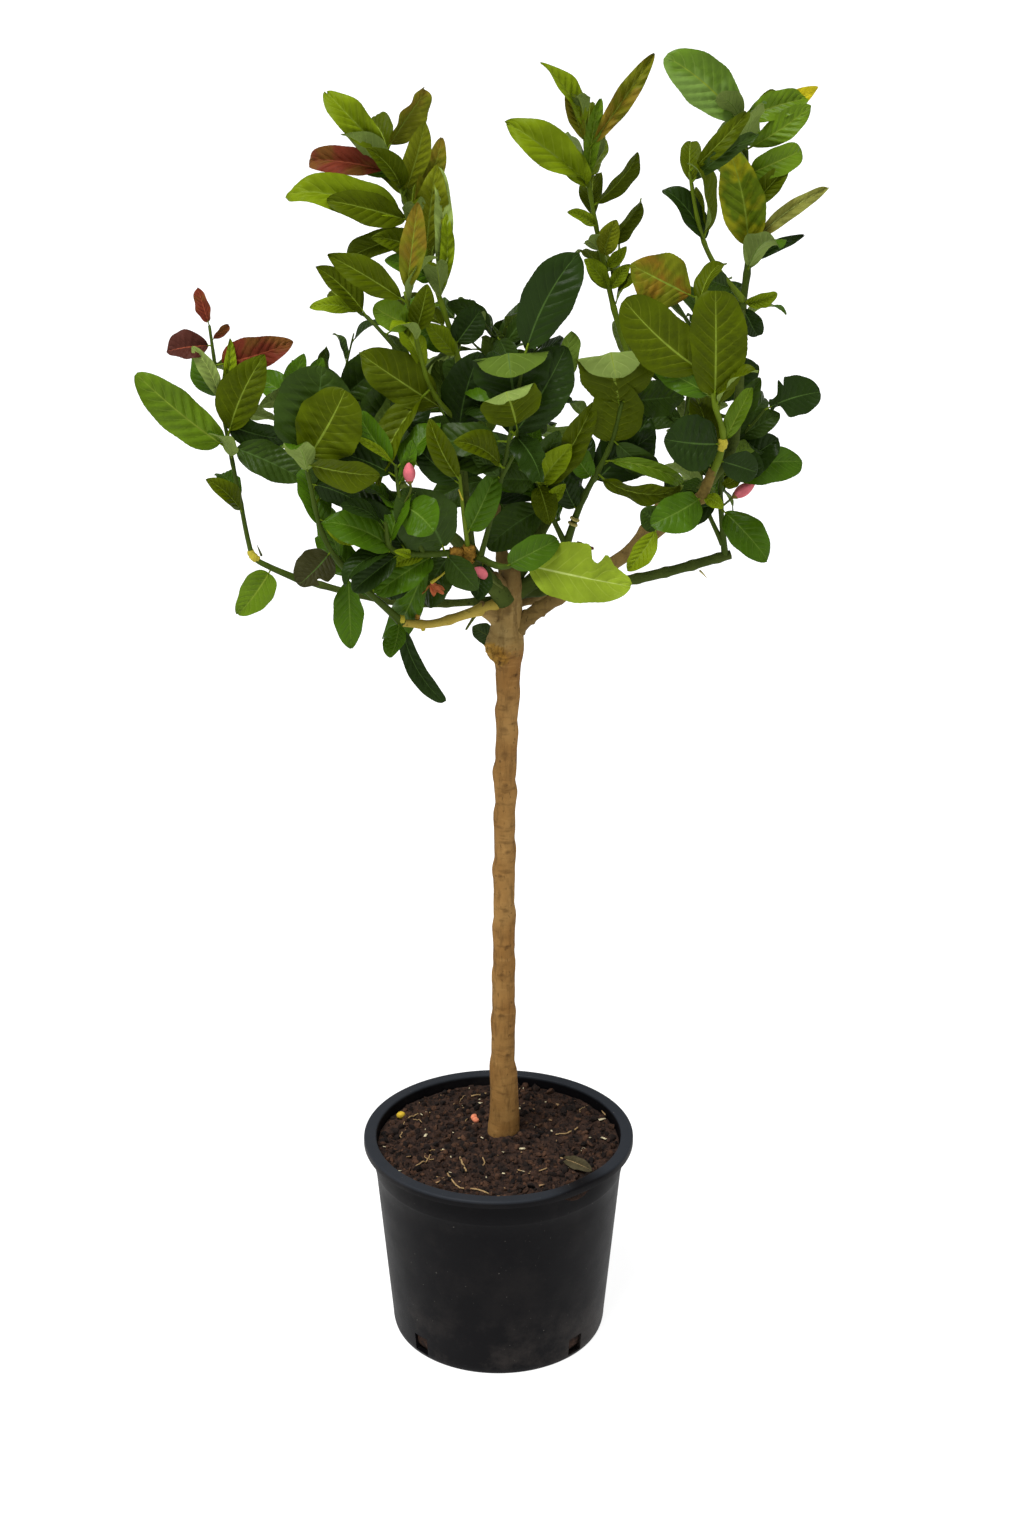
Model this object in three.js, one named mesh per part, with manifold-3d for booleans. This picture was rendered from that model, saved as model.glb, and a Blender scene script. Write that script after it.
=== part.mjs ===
// Young citron tree on a single stem, standing in its nursery pot.
// Millimetres and degrees. +Z is up, the origin is the middle of the pot's flat underside,
// and the tree's front looks along -Y.

import * as THREE from 'three';
import { mergeVertices } from 'three/addons/utils/BufferGeometryUtils.js';
import Module from 'manifold-3d';

const wasm = await Module();
wasm.setup();

// Driving dimensions

const GAP = 0.3;

// The pot: its rim turns outwards and down into a lip, its wall steps in under a shoulder,
// and its foot is rounded and pierced by drain slots
const POT = {
  height: 220,
  rimRadius: 140,
  rimThickness: 3,
  rimRound: 2.5,
  lipDrop: 8,
  lipThickness: 2.5,
  mouthRadius: 127,
  mouthRound: 1.5,
  shoulderHeight: 184,
  shoulderStep: 1,
  shoulderRise: 3,
  wallRadiusTop: 129,
  wallRadiusFoot: 112.5,
  wallThickness: 2.8,
  floorThickness: 4,
  footRadius: 108.5,
  footRise: 12,
  footBulge: 1,
  facets: 36,
  slots: 4,
  slotHeading: 45,
  slotDepth: 30,
  slotWidth: 18,
  slotHeight: 20,
  slotFoot: 5,
};

// The soil rises a little from the pot's wall to the flat seat round the trunk
const SOIL = {
  level: 210,
  mound: 2,
  seatRadius: 40,
};

// The trunk stands behind the pot's middle and leans forward until it is upright. Each row
// is a height above the underside, a radius there and how far the middle line leans along X.
const TRUNK = {
  foot: [4, 20],
  upright: 720,
  sides: 12,
  rings: [
    { z: SOIL.level + GAP, radius: 16.6, lean: 0 },
    { z: 228, radius: 15.6, lean: 2 },
    { z: 262, radius: 14.6, lean: 2 },
    { z: 292, radius: 12.6, lean: 1 },
    { z: 420, radius: 10.8, lean: 2 },
    { z: 600, radius: 10.2, lean: 3.5 },
    { z: 690, radius: 10.7, lean: 6 },
    { z: 730, radius: 12.2, lean: 7 },
    { z: 742, radius: 17.8, lean: 4.5 },
    { z: 762, radius: 16.4, lean: 4.5 },
    { z: 778, radius: 13.6, lean: 6.5 },
    { z: 802, radius: 10.4, lean: 9.5 },
    { z: 826, radius: 8.4, lean: 9.5 },
  ],
};

// Each bough is one tapering limb: the places it passes and its radius at foot and tip.
const BOUGHS = [
  { name: 'bough_left_low', radii: [3.6, 3.2], path: [[4, 2, 791], [-92, 22, 783], [-188, 10, 809]] },
  {
    name: 'bough_left',
    radii: [6, 3.9],
    path: [[2, -4, 789], [-31, -14, 781], [-60, -26, 776], [-90, -38, 780]],
  },
  { name: 'bough_front', radii: [7.4, 6.6], path: [[8, -4, 794], [-10, -20, 820], [-24, -34, 848]] },
  { name: 'bough_tall_left', radii: [3.8, 3.3], path: [[-24, -34, 852], [-30, -30, 915], [-35, -20, 952]] },
  { name: 'bough_centre', radii: [7, 5.6], path: [[13, 2, 795], [45, 14, 815], [64, 19, 836]] },
  {
    name: 'bough_right',
    radii: [8, 5.8],
    path: [[12, 0, 758], [31, -1, 776], [55, -4, 794], [120, -14, 839], [190, -25, 898]],
  },
  { name: 'bough_tall_right', radii: [5, 3.8], path: [[190, -23, 902], [220, -10, 950], [225, 15, 1065]] },
  { name: 'bough_right_low', radii: [5.2, 4.6], path: [[14, 6, 797], [130, 45, 800], [225, 62, 820]] },
  { name: 'bough_tall_centre', radii: [5.6, 3.6], path: [[12, 8, 800], [70, 70, 885], [150, 100, 955]] },
  { name: 'bough_back_right', radii: [6, 4], path: [[12, 9, 786], [110, 85, 800], [175, 140, 870]] },
  { name: 'bough_back', radii: [6, 4.4], path: [[10, 6, 808], [0, 55, 850], [-5, 100, 880]] },
  { name: 'bough_back_left', radii: [5.6, 4], path: [[6, 6, 800], [-60, 85, 850], [-95, 110, 880]] },
];

// A mass of leaves starts at its bough's tip. Its first shoot is the stem, and the others
// branch from it. A shoot gives the places it passes, its radii, and how many leaves the
// rule sets along it: from which station, of what length, and where the spiral starts.
// Twigs are the rule's own side shoots along the stem. The marked leaves are the ones that
// draw the crown's outline: shoot, station, heading, rise, length, turn, width over length.
// Buds are flower buds on a short stalk: shoot, station, heading, rise, stalk length.
const MASSES = [
  {
    name: 'leaves_left_outer',
    seed: 11,
    twigs: 0,
    shoots: [
      {
        path: [
          [-186, 10, 808], [-230, 0, 835], [-240, 0, 875],
          [-255, 10, 925], [-265, 20, 1005], [-270, 30, 1055],
        ],
        radii: [3.2, 1.5], leaves: 4, from: 0.5, length: 60, phase: 300,
      },
    ],
    marked: [
      [0, 0.06, -150, -35, 60, -60, 0.42],
      [0, 0.41, -145, 45, 50, -90, 0.45],
      [0, 0.62, -160, 45, 110, -100, 0.46],
      [0, 0.63, -25, -10, 90, 90, 0.42],
      [0, 0.65, 20, 40, 85, 100, 0.62],
      [0, 0.68, -5, -10, 65, 110, 0.5],
      [0, 0.72, -115, 65, 65, 80, 0.4],
      [0, 0.8, -10, 20, 85, 110, 0.5],
      [0, 0.89, -155, -5, 40, -70, 0.8],
      [0, 0.98, -180, 80, 32, -150, 0.5],
      [0, 0.91, 25, 30, 25, 110, 0.4],
    ],
  },
  {
    name: 'leaves_left_inner',
    seed: 712,
    twigs: 0,
    shoots: [
      {
        path: [[-89, -38, 780], [-150, -80, 860], [-170, -95, 945]],
        radii: [3.4, 1.8], leaves: 5, from: 0.2, length: 70, phase: 270,
      },
    ],
    marked: [
      [0, 0.03, -15, -65, 95, 0, 0.26],
      [0, 0.02, -105, -45, 40, -20, 0.6],
      [0, 0.36, -80, -80, 70, -40, 0.42],
      [0, 0.5, -140, -35, 45, -50, 0.8],
      [0, 0.97, 0, 60, 80, 80, 0.72],
      [0, 0.99, -15, -5, 70, 100, 0.5],
      [0, 0.88, 15, -25, 50, 100, 0.5],
      [0, 0.69, 15, -30, 45, 90, 0.55],
      [0, 0.79, 160, -35, 40, -60, 0.5],
    ],
  },
  {
    name: 'leaves_tall_left',
    seed: 13,
    twigs: 0,
    shoots: [
      {
        path: [[-35, -20, 951], [-35, -5, 1020], [-70, 15, 1125], [-100, 30, 1205]],
        radii: [3.5, 1.5], leaves: 9, from: 0.3, length: 75, phase: 195,
      },
      {
        path: [[-35, -18, 965], [-60, -45, 1005], [-80, -65, 1090]],
        radii: [2.8, 1.6], leaves: 4, from: 0.3, length: 65, phase: 105,
      },
      {
        path: [[-58, -43, 1000], [-110, -20, 1055], [-125, -10, 1065]],
        radii: [2.2, 1.5], leaves: 2, from: 0.5, length: 60, phase: 45,
      },
    ],
    marked: [
      [0, 0.98, -170, 45, 75, -110, 0.45],
      [0, 0.99, 25, 55, 65, 130, 0.45],
      [0, 0.92, -20, 55, 55, 160, 0.4],
      [0, 0.85, -25, 45, 65, 140, 0.4],
      [0, 0.91, 165, 5, 85, -70, 0.45],
      [0, 0.62, -75, 70, 90, 0, 0.4],
      [0, 0.57, -105, 55, 95, 180, 0.36],
      [0, 0.51, 0, 85, 75, -10, 0.34],
      [0, 0.74, -175, 10, 115, -70, 0.38],
      [0, 0.73, -155, 15, 85, -90, 0.4],
      [0, 0.34, -145, 45, 50, -110, 0.45],
      [0, 0.38, 25, 50, 40, 90, 0.75],
      [1, 0.34, -150, 30, 90, -60, 0.48],
      [1, 0.47, -145, -55, 100, -10, 0.4],
      [1, 0.95, 170, 40, 60, -30, 0.42],
      [2, 0.64, -165, 45, 65, -160, 0.4],
      [2, 0.97, -180, 5, 45, -120, 0.4],
      [0, 0.69, 180, -20, 70, -80, 0.4],
      [0, 0.62, -145, 20, 60, -100, 0.42],
      [0, 0.55, -150, 25, 55, -100, 0.45],
      [0, 0.83, -135, 45, 60, -130, 0.42],
    ],
  },
  {
    name: 'leaves_centre_left',
    seed: 814,
    twigs: 1,
    shoots: [
      {
        path: [[-27, -38, 848], [-90, -85, 860], [-100, -95, 890]],
        radii: [3.4, 1.8], leaves: 6, from: 0.2, length: 70, phase: 105,
      },
      {
        path: [[-68, -68, 856], [-85, -80, 900], [-90, -82, 940]],
        radii: [2.4, 1.6], leaves: 4, from: 0.3, length: 60, phase: 0,
      },
    ],
    marked: [
      [0, 0.15, -145, 55, 80, 70, 0.75],
      [0, 0.45, -135, 65, 75, 80, 0.4],
      [0, 0.5, -165, 25, 75, 30, 0.5],
      [0, 0.47, -160, -35, 55, -30, 0.5],
      [0, 0.2, -150, -25, 70, -30, 0.5],
      [0, 0.15, -20, -45, 45, -40, 0.6],
      [0, 0.25, 155, -45, 65, -20, 0.5],
      [0, 0.11, 135, -55, 65, -30, 0.6],
    ],
    buds: [
      [1, 0.9, -45, -15, 12],
    ],
  },
  {
    name: 'leaves_centre_front',
    seed: 515,
    twigs: 0,
    shoots: [
      {
        path: [[-20, -40, 845], [5, -60, 840], [25, -75, 850]],
        radii: [3.4, 1.8], leaves: 2, from: 0.2, length: 55, phase: 180,
      },
      {
        path: [[-15, -44, 844], [5, -90, 930], [15, -110, 985], [25, -120, 1040]],
        radii: [2.8, 1.6], leaves: 8, from: 0.2, length: 75, phase: 165,
      },
    ],
    marked: [
      [0, 0.97, -5, -10, 105, 30, 0.56],
      [0, 0.59, -10, 30, 55, -20, 0.55],
      [0, 0.19, -60, -55, 40, 70, 0.6],
      [1, 0.93, -160, 20, 55, -30, 0.45],
      [1, 0.49, -155, 45, 65, -50, 0.5],
      [1, 0.59, 20, 40, 75, 50, 0.55],
      [1, 0.97, 40, 55, 110, 40, 0.42],
      [1, 0.32, -155, 40, 60, -50, 0.5],
      [1, 0.28, -160, -60, 55, 10, 0.45],
      [1, 0.61, -35, -50, 55, 60, 0.55],
    ],
    buds: [
      [0, 0.12, -75, -45, 16],
    ],
  },
  {
    name: 'leaves_centre',
    seed: 16,
    twigs: 1,
    shoots: [
      {
        path: [[64, 19, 835], [80, 10, 885], [105, -5, 940], [115, -20, 985]],
        radii: [3.8, 1.6], leaves: 5, from: 0.3, length: 75, phase: 105,
      },
      {
        path: [[66, 19, 840], [50, 10, 875], [40, 0, 900], [30, -20, 940]],
        radii: [2.8, 1.6], leaves: 5, from: 0.3, length: 70, phase: 210,
      },
    ],
    marked: [
      [1, 0.6, -25, 60, 105, 80, 0.36],
      [1, 0.75, -160, 5, 40, -40, 0.7],
      [0, 0.51, -15, -5, 80, 110, 0.3],
      [0, 0.67, -60, 65, 70, -140, 0.85],
      [0, 0.99, -15, 70, 60, 30, 0.8],
      [0, 0.98, -160, 50, 70, 160, 0.45],
      [0, 0.55, 10, 30, 60, 60, 0.5],
      [0, 0.72, 15, -35, 55, 90, 0.5],
      [1, 0.42, -155, -20, 50, -40, 0.55],
      [1, 0.83, -40, 55, 50, 90, 0.5],
    ],
  },
  {
    name: 'leaves_tall_centre',
    seed: 217,
    twigs: 0,
    shoots: [
      {
        path: [[149, 99, 954], [120, 95, 1025], [100, 90, 1100], [85, 80, 1175], [80, 70, 1235]],
        radii: [3.5, 1.5], leaves: 8, from: 0.3, length: 55, phase: 165,
      },
    ],
    marked: [
      [0, 0.73, -170, 35, 95, -70, 0.45],
      [0, 0.92, -165, 55, 75, -40, 0.4],
      [0, 0.85, 10, 55, 105, 100, 0.36],
      [0, 0.66, -15, 50, 65, 130, 0.4],
      [0, 0.53, 15, 50, 60, 110, 0.45],
      [0, 0.6, -150, 25, 35, -70, 0.45],
      [0, 0.41, -150, 45, 40, -100, 0.5],
    ],
  },
  {
    name: 'leaves_tall_right',
    seed: 618,
    twigs: 0,
    shoots: [
      {
        path: [[225, 15, 1064], [230, 20, 1115], [225, 30, 1205], [220, 30, 1230]],
        radii: [3.6, 1.6], leaves: 6, from: 0.15, length: 70, phase: 105,
      },
      {
        path: [[226, 14, 1072], [195, -8, 1110], [180, -25, 1145], [170, -35, 1190]],
        radii: [2.8, 1.5], leaves: 3, from: 0.4, length: 60, phase: 255,
      },
    ],
    marked: [
      [0, 0.88, -170, 40, 95, -80, 0.56],
      [0, 0.79, 15, 35, 75, 100, 0.56],
      [0, 0.64, -20, 40, 85, 120, 0.48],
      [0, 0.51, 10, 35, 65, 100, 0.55],
      [0, 0.33, -10, 40, 95, -40, 0.42],
      [0, 0.2, 10, 35, 70, 130, 0.42],
      [0, 0.33, -120, 60, 110, -150, 0.48],
      [0, 0.03, -25, 20, 35, 120, 0.5],
      [1, 0.47, -165, 50, 65, 0, 0.42],
      [1, 0.53, -125, 65, 75, 110, 0.42],
      [1, 0.94, 5, 50, 75, 110, 0.42],
      [1, 0.81, -20, 40, 75, 120, 0.4],
      [1, 0.1, -155, 20, 40, -60, 0.55],
    ],
  },
  {
    name: 'leaves_right_front',
    seed: 19,
    twigs: 0,
    shoots: [
      {
        path: [[190, -26, 896], [195, -70, 990], [175, -90, 1035], [170, -95, 1085]],
        radii: [4, 1.8], leaves: 6, from: 0.1, length: 70, phase: 255,
      },
    ],
    marked: [
      [0, 0.93, -165, 40, 78, -90, 0.8],
      [0, 0.63, -170, 40, 92, -60, 0.62],
      [0, 0.33, -95, 75, 108, 20, 0.58],
      [0, 0.08, -150, 50, 65, -70, 0.85],
      [0, 0.13, 15, -15, 50, 80, 0.6],
    ],
  },
  {
    name: 'leaves_right_low',
    seed: 520,
    twigs: 0,
    shoots: [
      {
        path: [[222, 61, 819], [215, 50, 875], [215, 40, 910], [225, 30, 940]],
        radii: [3.6, 1.8], leaves: 5, from: 0.25, length: 65, phase: 30,
      },
      {
        path: [[219, 58, 832], [200, 60, 875], [195, 70, 920]],
        radii: [2.6, 1.7], leaves: 4, from: 0.3, length: 60, phase: 255,
      },
    ],
    marked: [
      [0, 1, -10, 30, 88, 70, 0.5],
      [0, 0.75, -25, 45, 52, 80, 0.75],
      [0, 0.61, 10, 10, 80, 70, 0.55],
      [0, 0.93, 30, 70, 55, 10, 0.45],
      [0, 0.29, -35, -40, 72, 60, 0.48],
      [0, 0.31, -155, -10, 78, -50, 0.52],
      [1, 0.26, -165, -30, 90, -30, 0.38],
      [0, 0.99, -35, 20, 55, 90, 0.55],
      [0, 0.66, -20, -20, 65, 70, 0.5],
    ],
    buds: [
      [0, 0.62, -25, 0, 16],
    ],
  },
  {
    name: 'leaves_back',
    seed: 21,
    twigs: 2,
    shoots: [
      {
        path: [[-5, 99, 879], [-10, 140, 940], [0, 170, 1010]],
        radii: [4.2, 1.6], leaves: 7, from: 0.15, length: 80, phase: 255,
      },
      {
        path: [[-7, 118, 905], [40, 175, 930], [70, 215, 960]],
        radii: [2.8, 1.6], leaves: 6, from: 0.3, length: 75, phase: 120,
      },
    ],
    marked: [
      [0, 0.05, -170, -20, 65, -100, 0.55],
      [0, 0.12, 180, 20, 65, -110, 0.6],
      [0, 0.34, 180, 15, 65, -100, 0.5],
      [0, 0.55, 180, 50, 65, -110, 0.6],
      [0, 0.62, 0, -30, 65, 120, 0.6],
      [0, 0.75, 0, 5, 60, 110, 0.55],
      [0, 0.94, -25, 50, 45, 150, 0.7],
      [0, 0.02, -15, -55, 65, 140, 0.6],
    ],
  },
  {
    name: 'leaves_back_left',
    seed: 22,
    twigs: 2,
    shoots: [
      {
        path: [[-94, 110, 879], [-125, 130, 920], [-165, 150, 965]],
        radii: [3.8, 1.6], leaves: 6, from: 0.15, length: 80, phase: 195,
      },
      {
        path: [[-105, 117, 893], [-90, 160, 930], [-100, 210, 960]],
        radii: [2.6, 1.6], leaves: 6, from: 0.3, length: 75, phase: 240,
      },
    ],
    marked: [
      [0, 0.78, -165, -10, 75, -100, 0.5],
      [0, 0.96, 165, 25, 45, -80, 0.7],
      [0, 0.9, 0, 40, 75, 110, 0.7],
      [0, 0.55, -45, 55, 75, 130, 0.6],
      [0, 0.34, -150, -25, 50, -80, 0.6],
      [1, 0.28, 40, 55, 55, 180, 0.6],
    ],
  },
  {
    name: 'leaves_back_right',
    seed: 1123,
    twigs: 2,
    shoots: [
      {
        path: [[174, 139, 869], [190, 160, 950], [195, 175, 1040]],
        radii: [3.8, 1.6], leaves: 8, from: 0.15, length: 75, phase: 255,
      },
    ],
    marked: [
      [0, 0.2, 0, -10, 75, 100, 0.6],
      [0, 0.41, 180, 0, 50, -80, 0.55],
      [0, 0.54, 0, 25, 75, 100, 0.55],
    ],
  },
];

// Leaf and twig proportions shared by every mass. A leaf has a flat upper face over a keel.
const LEAF = {
  stations: [0, 0.1, 0.4, 0.78, 1],
  outline: [0, 0, 1, 0.82, 0],
  petiole: 1.1,
  keel: 2,
  fold: 5,
  droop: 0.02,
  ruleDroop: 0.1,
  width: 0.45,
};

const BUD = { radius: 4.2, length: 15, stalk: 1.2, sides: 6, rings: 4 };

// The rule's angles, its lengths as shares of the shoot's own, and its ranges of chance
const RULE = {
  spiral: 135,
  spreadFoot: 68,
  spreadTip: 38,
  sag: 0.12,
  turnRange: 50,
  lengthRange: 0.4,
  lengthFoot: 1.1,
  lengthTip: 0.75,
  tries: [0, 45, -45, 90],
  spaceMargin: 30,
  twigEnd: 0.9,
  twigSpread: 55,
  twigLength: 75,
  twigLift: 0.2,
  twigRadii: [2.2, 1.4],
  twigLeaves: 4,
  twigLeafFrom: 0.35,
  twigLeafLength: 0.9,
};

// Sides round a limb, and steps along each stretch of its path
const FACETS = {
  bough: { sides: 7, steps: 3 },
  shoot: { sides: 4, steps: 2 },
  stalk: { sides: 3, steps: 1 },
};

// The points that stand for a leaf or a limb in the clearance tests
const SAMPLES = { leafFoot: 0.12, leafRows: 8, leafShares: [-1, -0.5, 0, 0.5, 1], limbSteps: 8 };

// How far a leaf's sampled points keep from limbs and twigs, from leaves of another mass,
// and from leaves of its own mass
const CLEARANCE = { limb: 4, otherLeaf: 8.5, ownLeaf: 4, marked: 6.5, freeRoot: 0.25 };

const FINISHES = {
  pot: { color: 0x1d1d21, roughness: 0.5, metalness: 0 },
  soil: { color: 0x2f2018, roughness: 0.95, metalness: 0 },
  trunk: { color: 0x80653a, roughness: 0.85, metalness: 0 },
  bough: { color: 0x5d6b33, roughness: 0.8, metalness: 0 },
  leaf: { color: 0x3f5f24, roughness: 0.6, metalness: 0 },
};

// Small helpers

const radians = THREE.MathUtils.degToRad;
const REFERENCE = new THREE.Vector3(0, 1, 0);
const TINY = 0.01;

function seeded(seed) {
  let state = seed >>> 0;
  return function next() {
    state = (Math.imul(state, 1664525) + 1013904223) >>> 0;
    return state / 4294967296;
  };
}

function vector(place) {
  return new THREE.Vector3(place[0], place[1], place[2]);
}

function curveThrough(path) {
  return new THREE.CatmullRomCurve3(path.map(vector), false, 'catmullrom', 0.5);
}

function welded(geometry) {
  geometry.deleteAttribute('normal');
  geometry.deleteAttribute('uv');
  return mergeVertices(geometry, 1e-4);
}

function solidOf(geometry) {
  const mesh = new wasm.Mesh({
    numProp: 3,
    vertProperties: new Float32Array(geometry.attributes.position.array),
    triVerts: new Uint32Array(geometry.index.array),
  });
  mesh.merge();
  return new wasm.Manifold(mesh);
}

function geometryOf(solid) {
  const mesh = solid.getMesh();
  const geometry = new THREE.BufferGeometry();
  geometry.setAttribute('position', new THREE.BufferAttribute(mesh.vertProperties, mesh.numProp));
  geometry.setIndex(new THREE.BufferAttribute(mesh.triVerts, 1));
  geometry.computeVertexNormals();
  return geometry;
}

// The largest body of a solid: loose scraps are dropped and sealed hollows are filled
function largestBody(solid) {
  const bodies = solid.decompose();
  return bodies.reduce((best, body) => (body.volume() > best.volume() ? body : best));
}

// Two unit directions square to the tangent, one of them level across the reference
function crossFrame(tangent) {
  const across = new THREE.Vector3().crossVectors(tangent, REFERENCE).normalize();
  const over = new THREE.Vector3().crossVectors(tangent, across).normalize();
  return { across, over };
}

// A tapering limb: a cylinder whose rings are carried along a curve
function limbSolid(path, radii, facets, extra = 0) {
  const curve = curveThrough(path);
  const rings = (path.length - 1) * facets.steps;
  const geometry = welded(new THREE.CylinderGeometry(1, 1, 1, facets.sides, rings));
  const position = geometry.attributes.position;
  for (let i = 0; i < position.count; i += 1) {
    const station = position.getY(i) + 0.5;
    const tangent = curve.getTangent(station).normalize();
    const { across, over } = crossFrame(tangent);
    const radius = THREE.MathUtils.lerp(radii[0], radii[1], station) + extra;
    const place = curve.getPoint(station);
    place.addScaledVector(across, position.getX(i) * radius);
    place.addScaledVector(over, position.getZ(i) * radius);
    place.addScaledVector(tangent, (station - 0.5) * 2 * extra);
    position.setXYZ(i, place.x, place.y, place.z);
  }
  return outward(geometry);
}

function outward(geometry) {
  const solid = solidOf(geometry);
  if (solid.volume() > 0) {
    return solid;
  }
  const index = geometry.index;
  for (let i = 0; i < index.count; i += 3) {
    const second = index.getX(i + 1);
    index.setX(i + 1, index.getX(i + 2));
    index.setX(i + 2, second);
  }
  return solidOf(geometry);
}

// Trunk: stacked rings from the flat cut on the soil to the pruned top

// How far back the trunk's middle line stands at a height
function trunkDepth(z) {
  const share = (z - SOIL.level) / (TRUNK.upright - SOIL.level);
  return TRUNK.foot[1] * (1 - Math.min(share, 1));
}

function trunkSolid(extra = 0) {
  const rings = TRUNK.rings;
  const geometry = welded(new THREE.CylinderGeometry(1, 1, 1, TRUNK.sides, rings.length - 1));
  const position = geometry.attributes.position;
  for (let i = 0; i < position.count; i += 1) {
    const ring = rings[Math.round((position.getY(i) + 0.5) * (rings.length - 1))];
    const radius = ring.radius + extra;
    position.setXYZ(
      i,
      TRUNK.foot[0] + ring.lean + position.getX(i) * radius,
      trunkDepth(ring.z) - position.getZ(i) * radius,
      ring.z,
    );
  }
  return outward(geometry);
}

// A round solid turned from a profile of radii and heights
function turned(profile) {
  const points = profile.map(([radius, height]) => new THREE.Vector2(radius, height));
  const lathe = new THREE.LatheGeometry(points, POT.facets);
  lathe.rotateX(Math.PI / 2);
  return outward(welded(lathe));
}

// Pot: a turned shell with a down-turned lip and drain slots at its foot

function potSolid() {
  const wall = POT.wallThickness;
  const lipInside = POT.rimRadius - POT.lipThickness;
  const rimUnder = POT.height - POT.rimThickness;
  const outer = [
    [0, 0],
    [POT.footRadius, 0],
    [POT.wallRadiusFoot - POT.footBulge, POT.footRise / 2],
    [POT.wallRadiusFoot, POT.footRise],
    [POT.wallRadiusTop - POT.shoulderStep, POT.shoulderHeight],
    [POT.wallRadiusTop, POT.shoulderHeight + POT.shoulderRise],
    [POT.wallRadiusTop, rimUnder],
    [lipInside, rimUnder],
    [lipInside, POT.height - POT.lipDrop],
    [POT.rimRadius, POT.height - POT.lipDrop],
    [POT.rimRadius, POT.height - POT.rimRound],
    [POT.rimRadius - POT.rimRound, POT.height],
  ];
  const inner = [
    [POT.mouthRadius + POT.mouthRound, POT.height],
    [POT.mouthRadius, POT.height - POT.mouthRound],
    [POT.wallRadiusTop - POT.shoulderStep - wall, POT.shoulderHeight],
    [POT.wallRadiusFoot - wall, POT.footRise],
    [POT.footRadius - wall, POT.floorThickness],
    [0, POT.floorThickness],
  ];
  let pot = turned([...outer, ...inner]);
  for (let i = 0; i < POT.slots; i += 1) {
    const slot = new THREE.BoxGeometry(POT.slotDepth, POT.slotWidth, POT.slotHeight);
    slot.translate(POT.wallRadiusFoot, 0, POT.slotFoot + POT.slotHeight / 2);
    slot.rotateZ(radians(POT.slotHeading + (i * 360) / POT.slots));
    pot = pot.subtract(outward(welded(slot)));
  }
  return pot;
}

// Soil: fills the pot, a gap inside the flats of its faceted wall

function soilSolid() {
  const wall = POT.wallThickness;
  const bottom = POT.floorThickness + GAP;
  const inside = (radius) => radius * Math.cos(Math.PI / POT.facets) - GAP;
  const edge = inside(POT.wallRadiusTop - POT.shoulderStep - wall);
  return turned([
    [0, bottom],
    [inside(POT.footRadius - wall), bottom],
    [inside(POT.wallRadiusFoot - wall), POT.footRise],
    [edge, POT.shoulderHeight],
    [edge, SOIL.level - SOIL.mound],
    [SOIL.seatRadius, SOIL.level],
    [0, SOIL.level],
  ]);
}

// Leaves

// A leaf's own frame: chord from root to tip, up out of its upper face, side across it
function leafFrame(leaf) {
  const chord = leaf.chord.clone();
  const up = leaf.tangent.clone().addScaledVector(chord, -leaf.tangent.dot(chord)).normalize();
  up.applyAxisAngle(chord, radians(leaf.turn));
  const side = new THREE.Vector3().crossVectors(chord, up);
  const droop = new THREE.Vector3(0, 0, 1).addScaledVector(chord, -chord.z);
  return { chord, up, side, droop };
}

// A point of the leaf: station along it, distance across it, and lift off its middle plane.
// The midrib rises over the chord and droops to the tip.
function leafPoint(leaf, frame, station, across, lift) {
  const rise = leaf.length * leaf.droop * 4 * station * (1 - station);
  const fold = radians(LEAF.fold);
  const place = leaf.root.clone().addScaledVector(frame.chord, leaf.length * station);
  place.addScaledVector(frame.droop, rise);
  place.addScaledVector(frame.side, across * Math.cos(fold));
  place.addScaledVector(frame.up, Math.abs(across) * Math.sin(fold) + lift);
  return place;
}

function halfWidthAt(leaf, station) {
  const { stations, outline } = LEAF;
  let k = 0;
  while (k < stations.length - 2 && station > stations[k + 1]) {
    k += 1;
  }
  const share = (station - stations[k]) / (stations[k + 1] - stations[k]);
  const blade = THREE.MathUtils.lerp(outline[k], outline[k + 1], share);
  return (blade * leaf.width * leaf.length) / 2;
}

// A three-sided cone laid along the leaf: two of its edges are the leaf's margins and the
// third is the keel under the midrib
function leafSolid(leaf) {
  const frame = leafFrame(leaf);
  const steps = LEAF.stations.length - 1;
  const geometry = welded(new THREE.ConeGeometry(1, 1, 3, steps));
  const position = geometry.attributes.position;
  for (let i = 0; i < position.count; i += 1) {
    const row = Math.round((position.getY(i) + 0.5) * steps);
    const isMargin = row < steps && Math.abs(position.getX(i)) > TINY;
    const isKeel = row < steps && !isMargin && position.getZ(i) > TINY;
    const edge = isMargin ? Math.sign(position.getX(i)) : 0;
    const blade = halfWidthAt(leaf, LEAF.stations[row]);
    const halfWidth = Math.max(blade, LEAF.petiole);
    const lift = isKeel ? -LEAF.keel : 0;
    const place = leafPoint(leaf, frame, LEAF.stations[row], edge * halfWidth, lift);
    position.setXYZ(i, place.x, place.y, place.z);
  }
  return outward(geometry);
}

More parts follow.
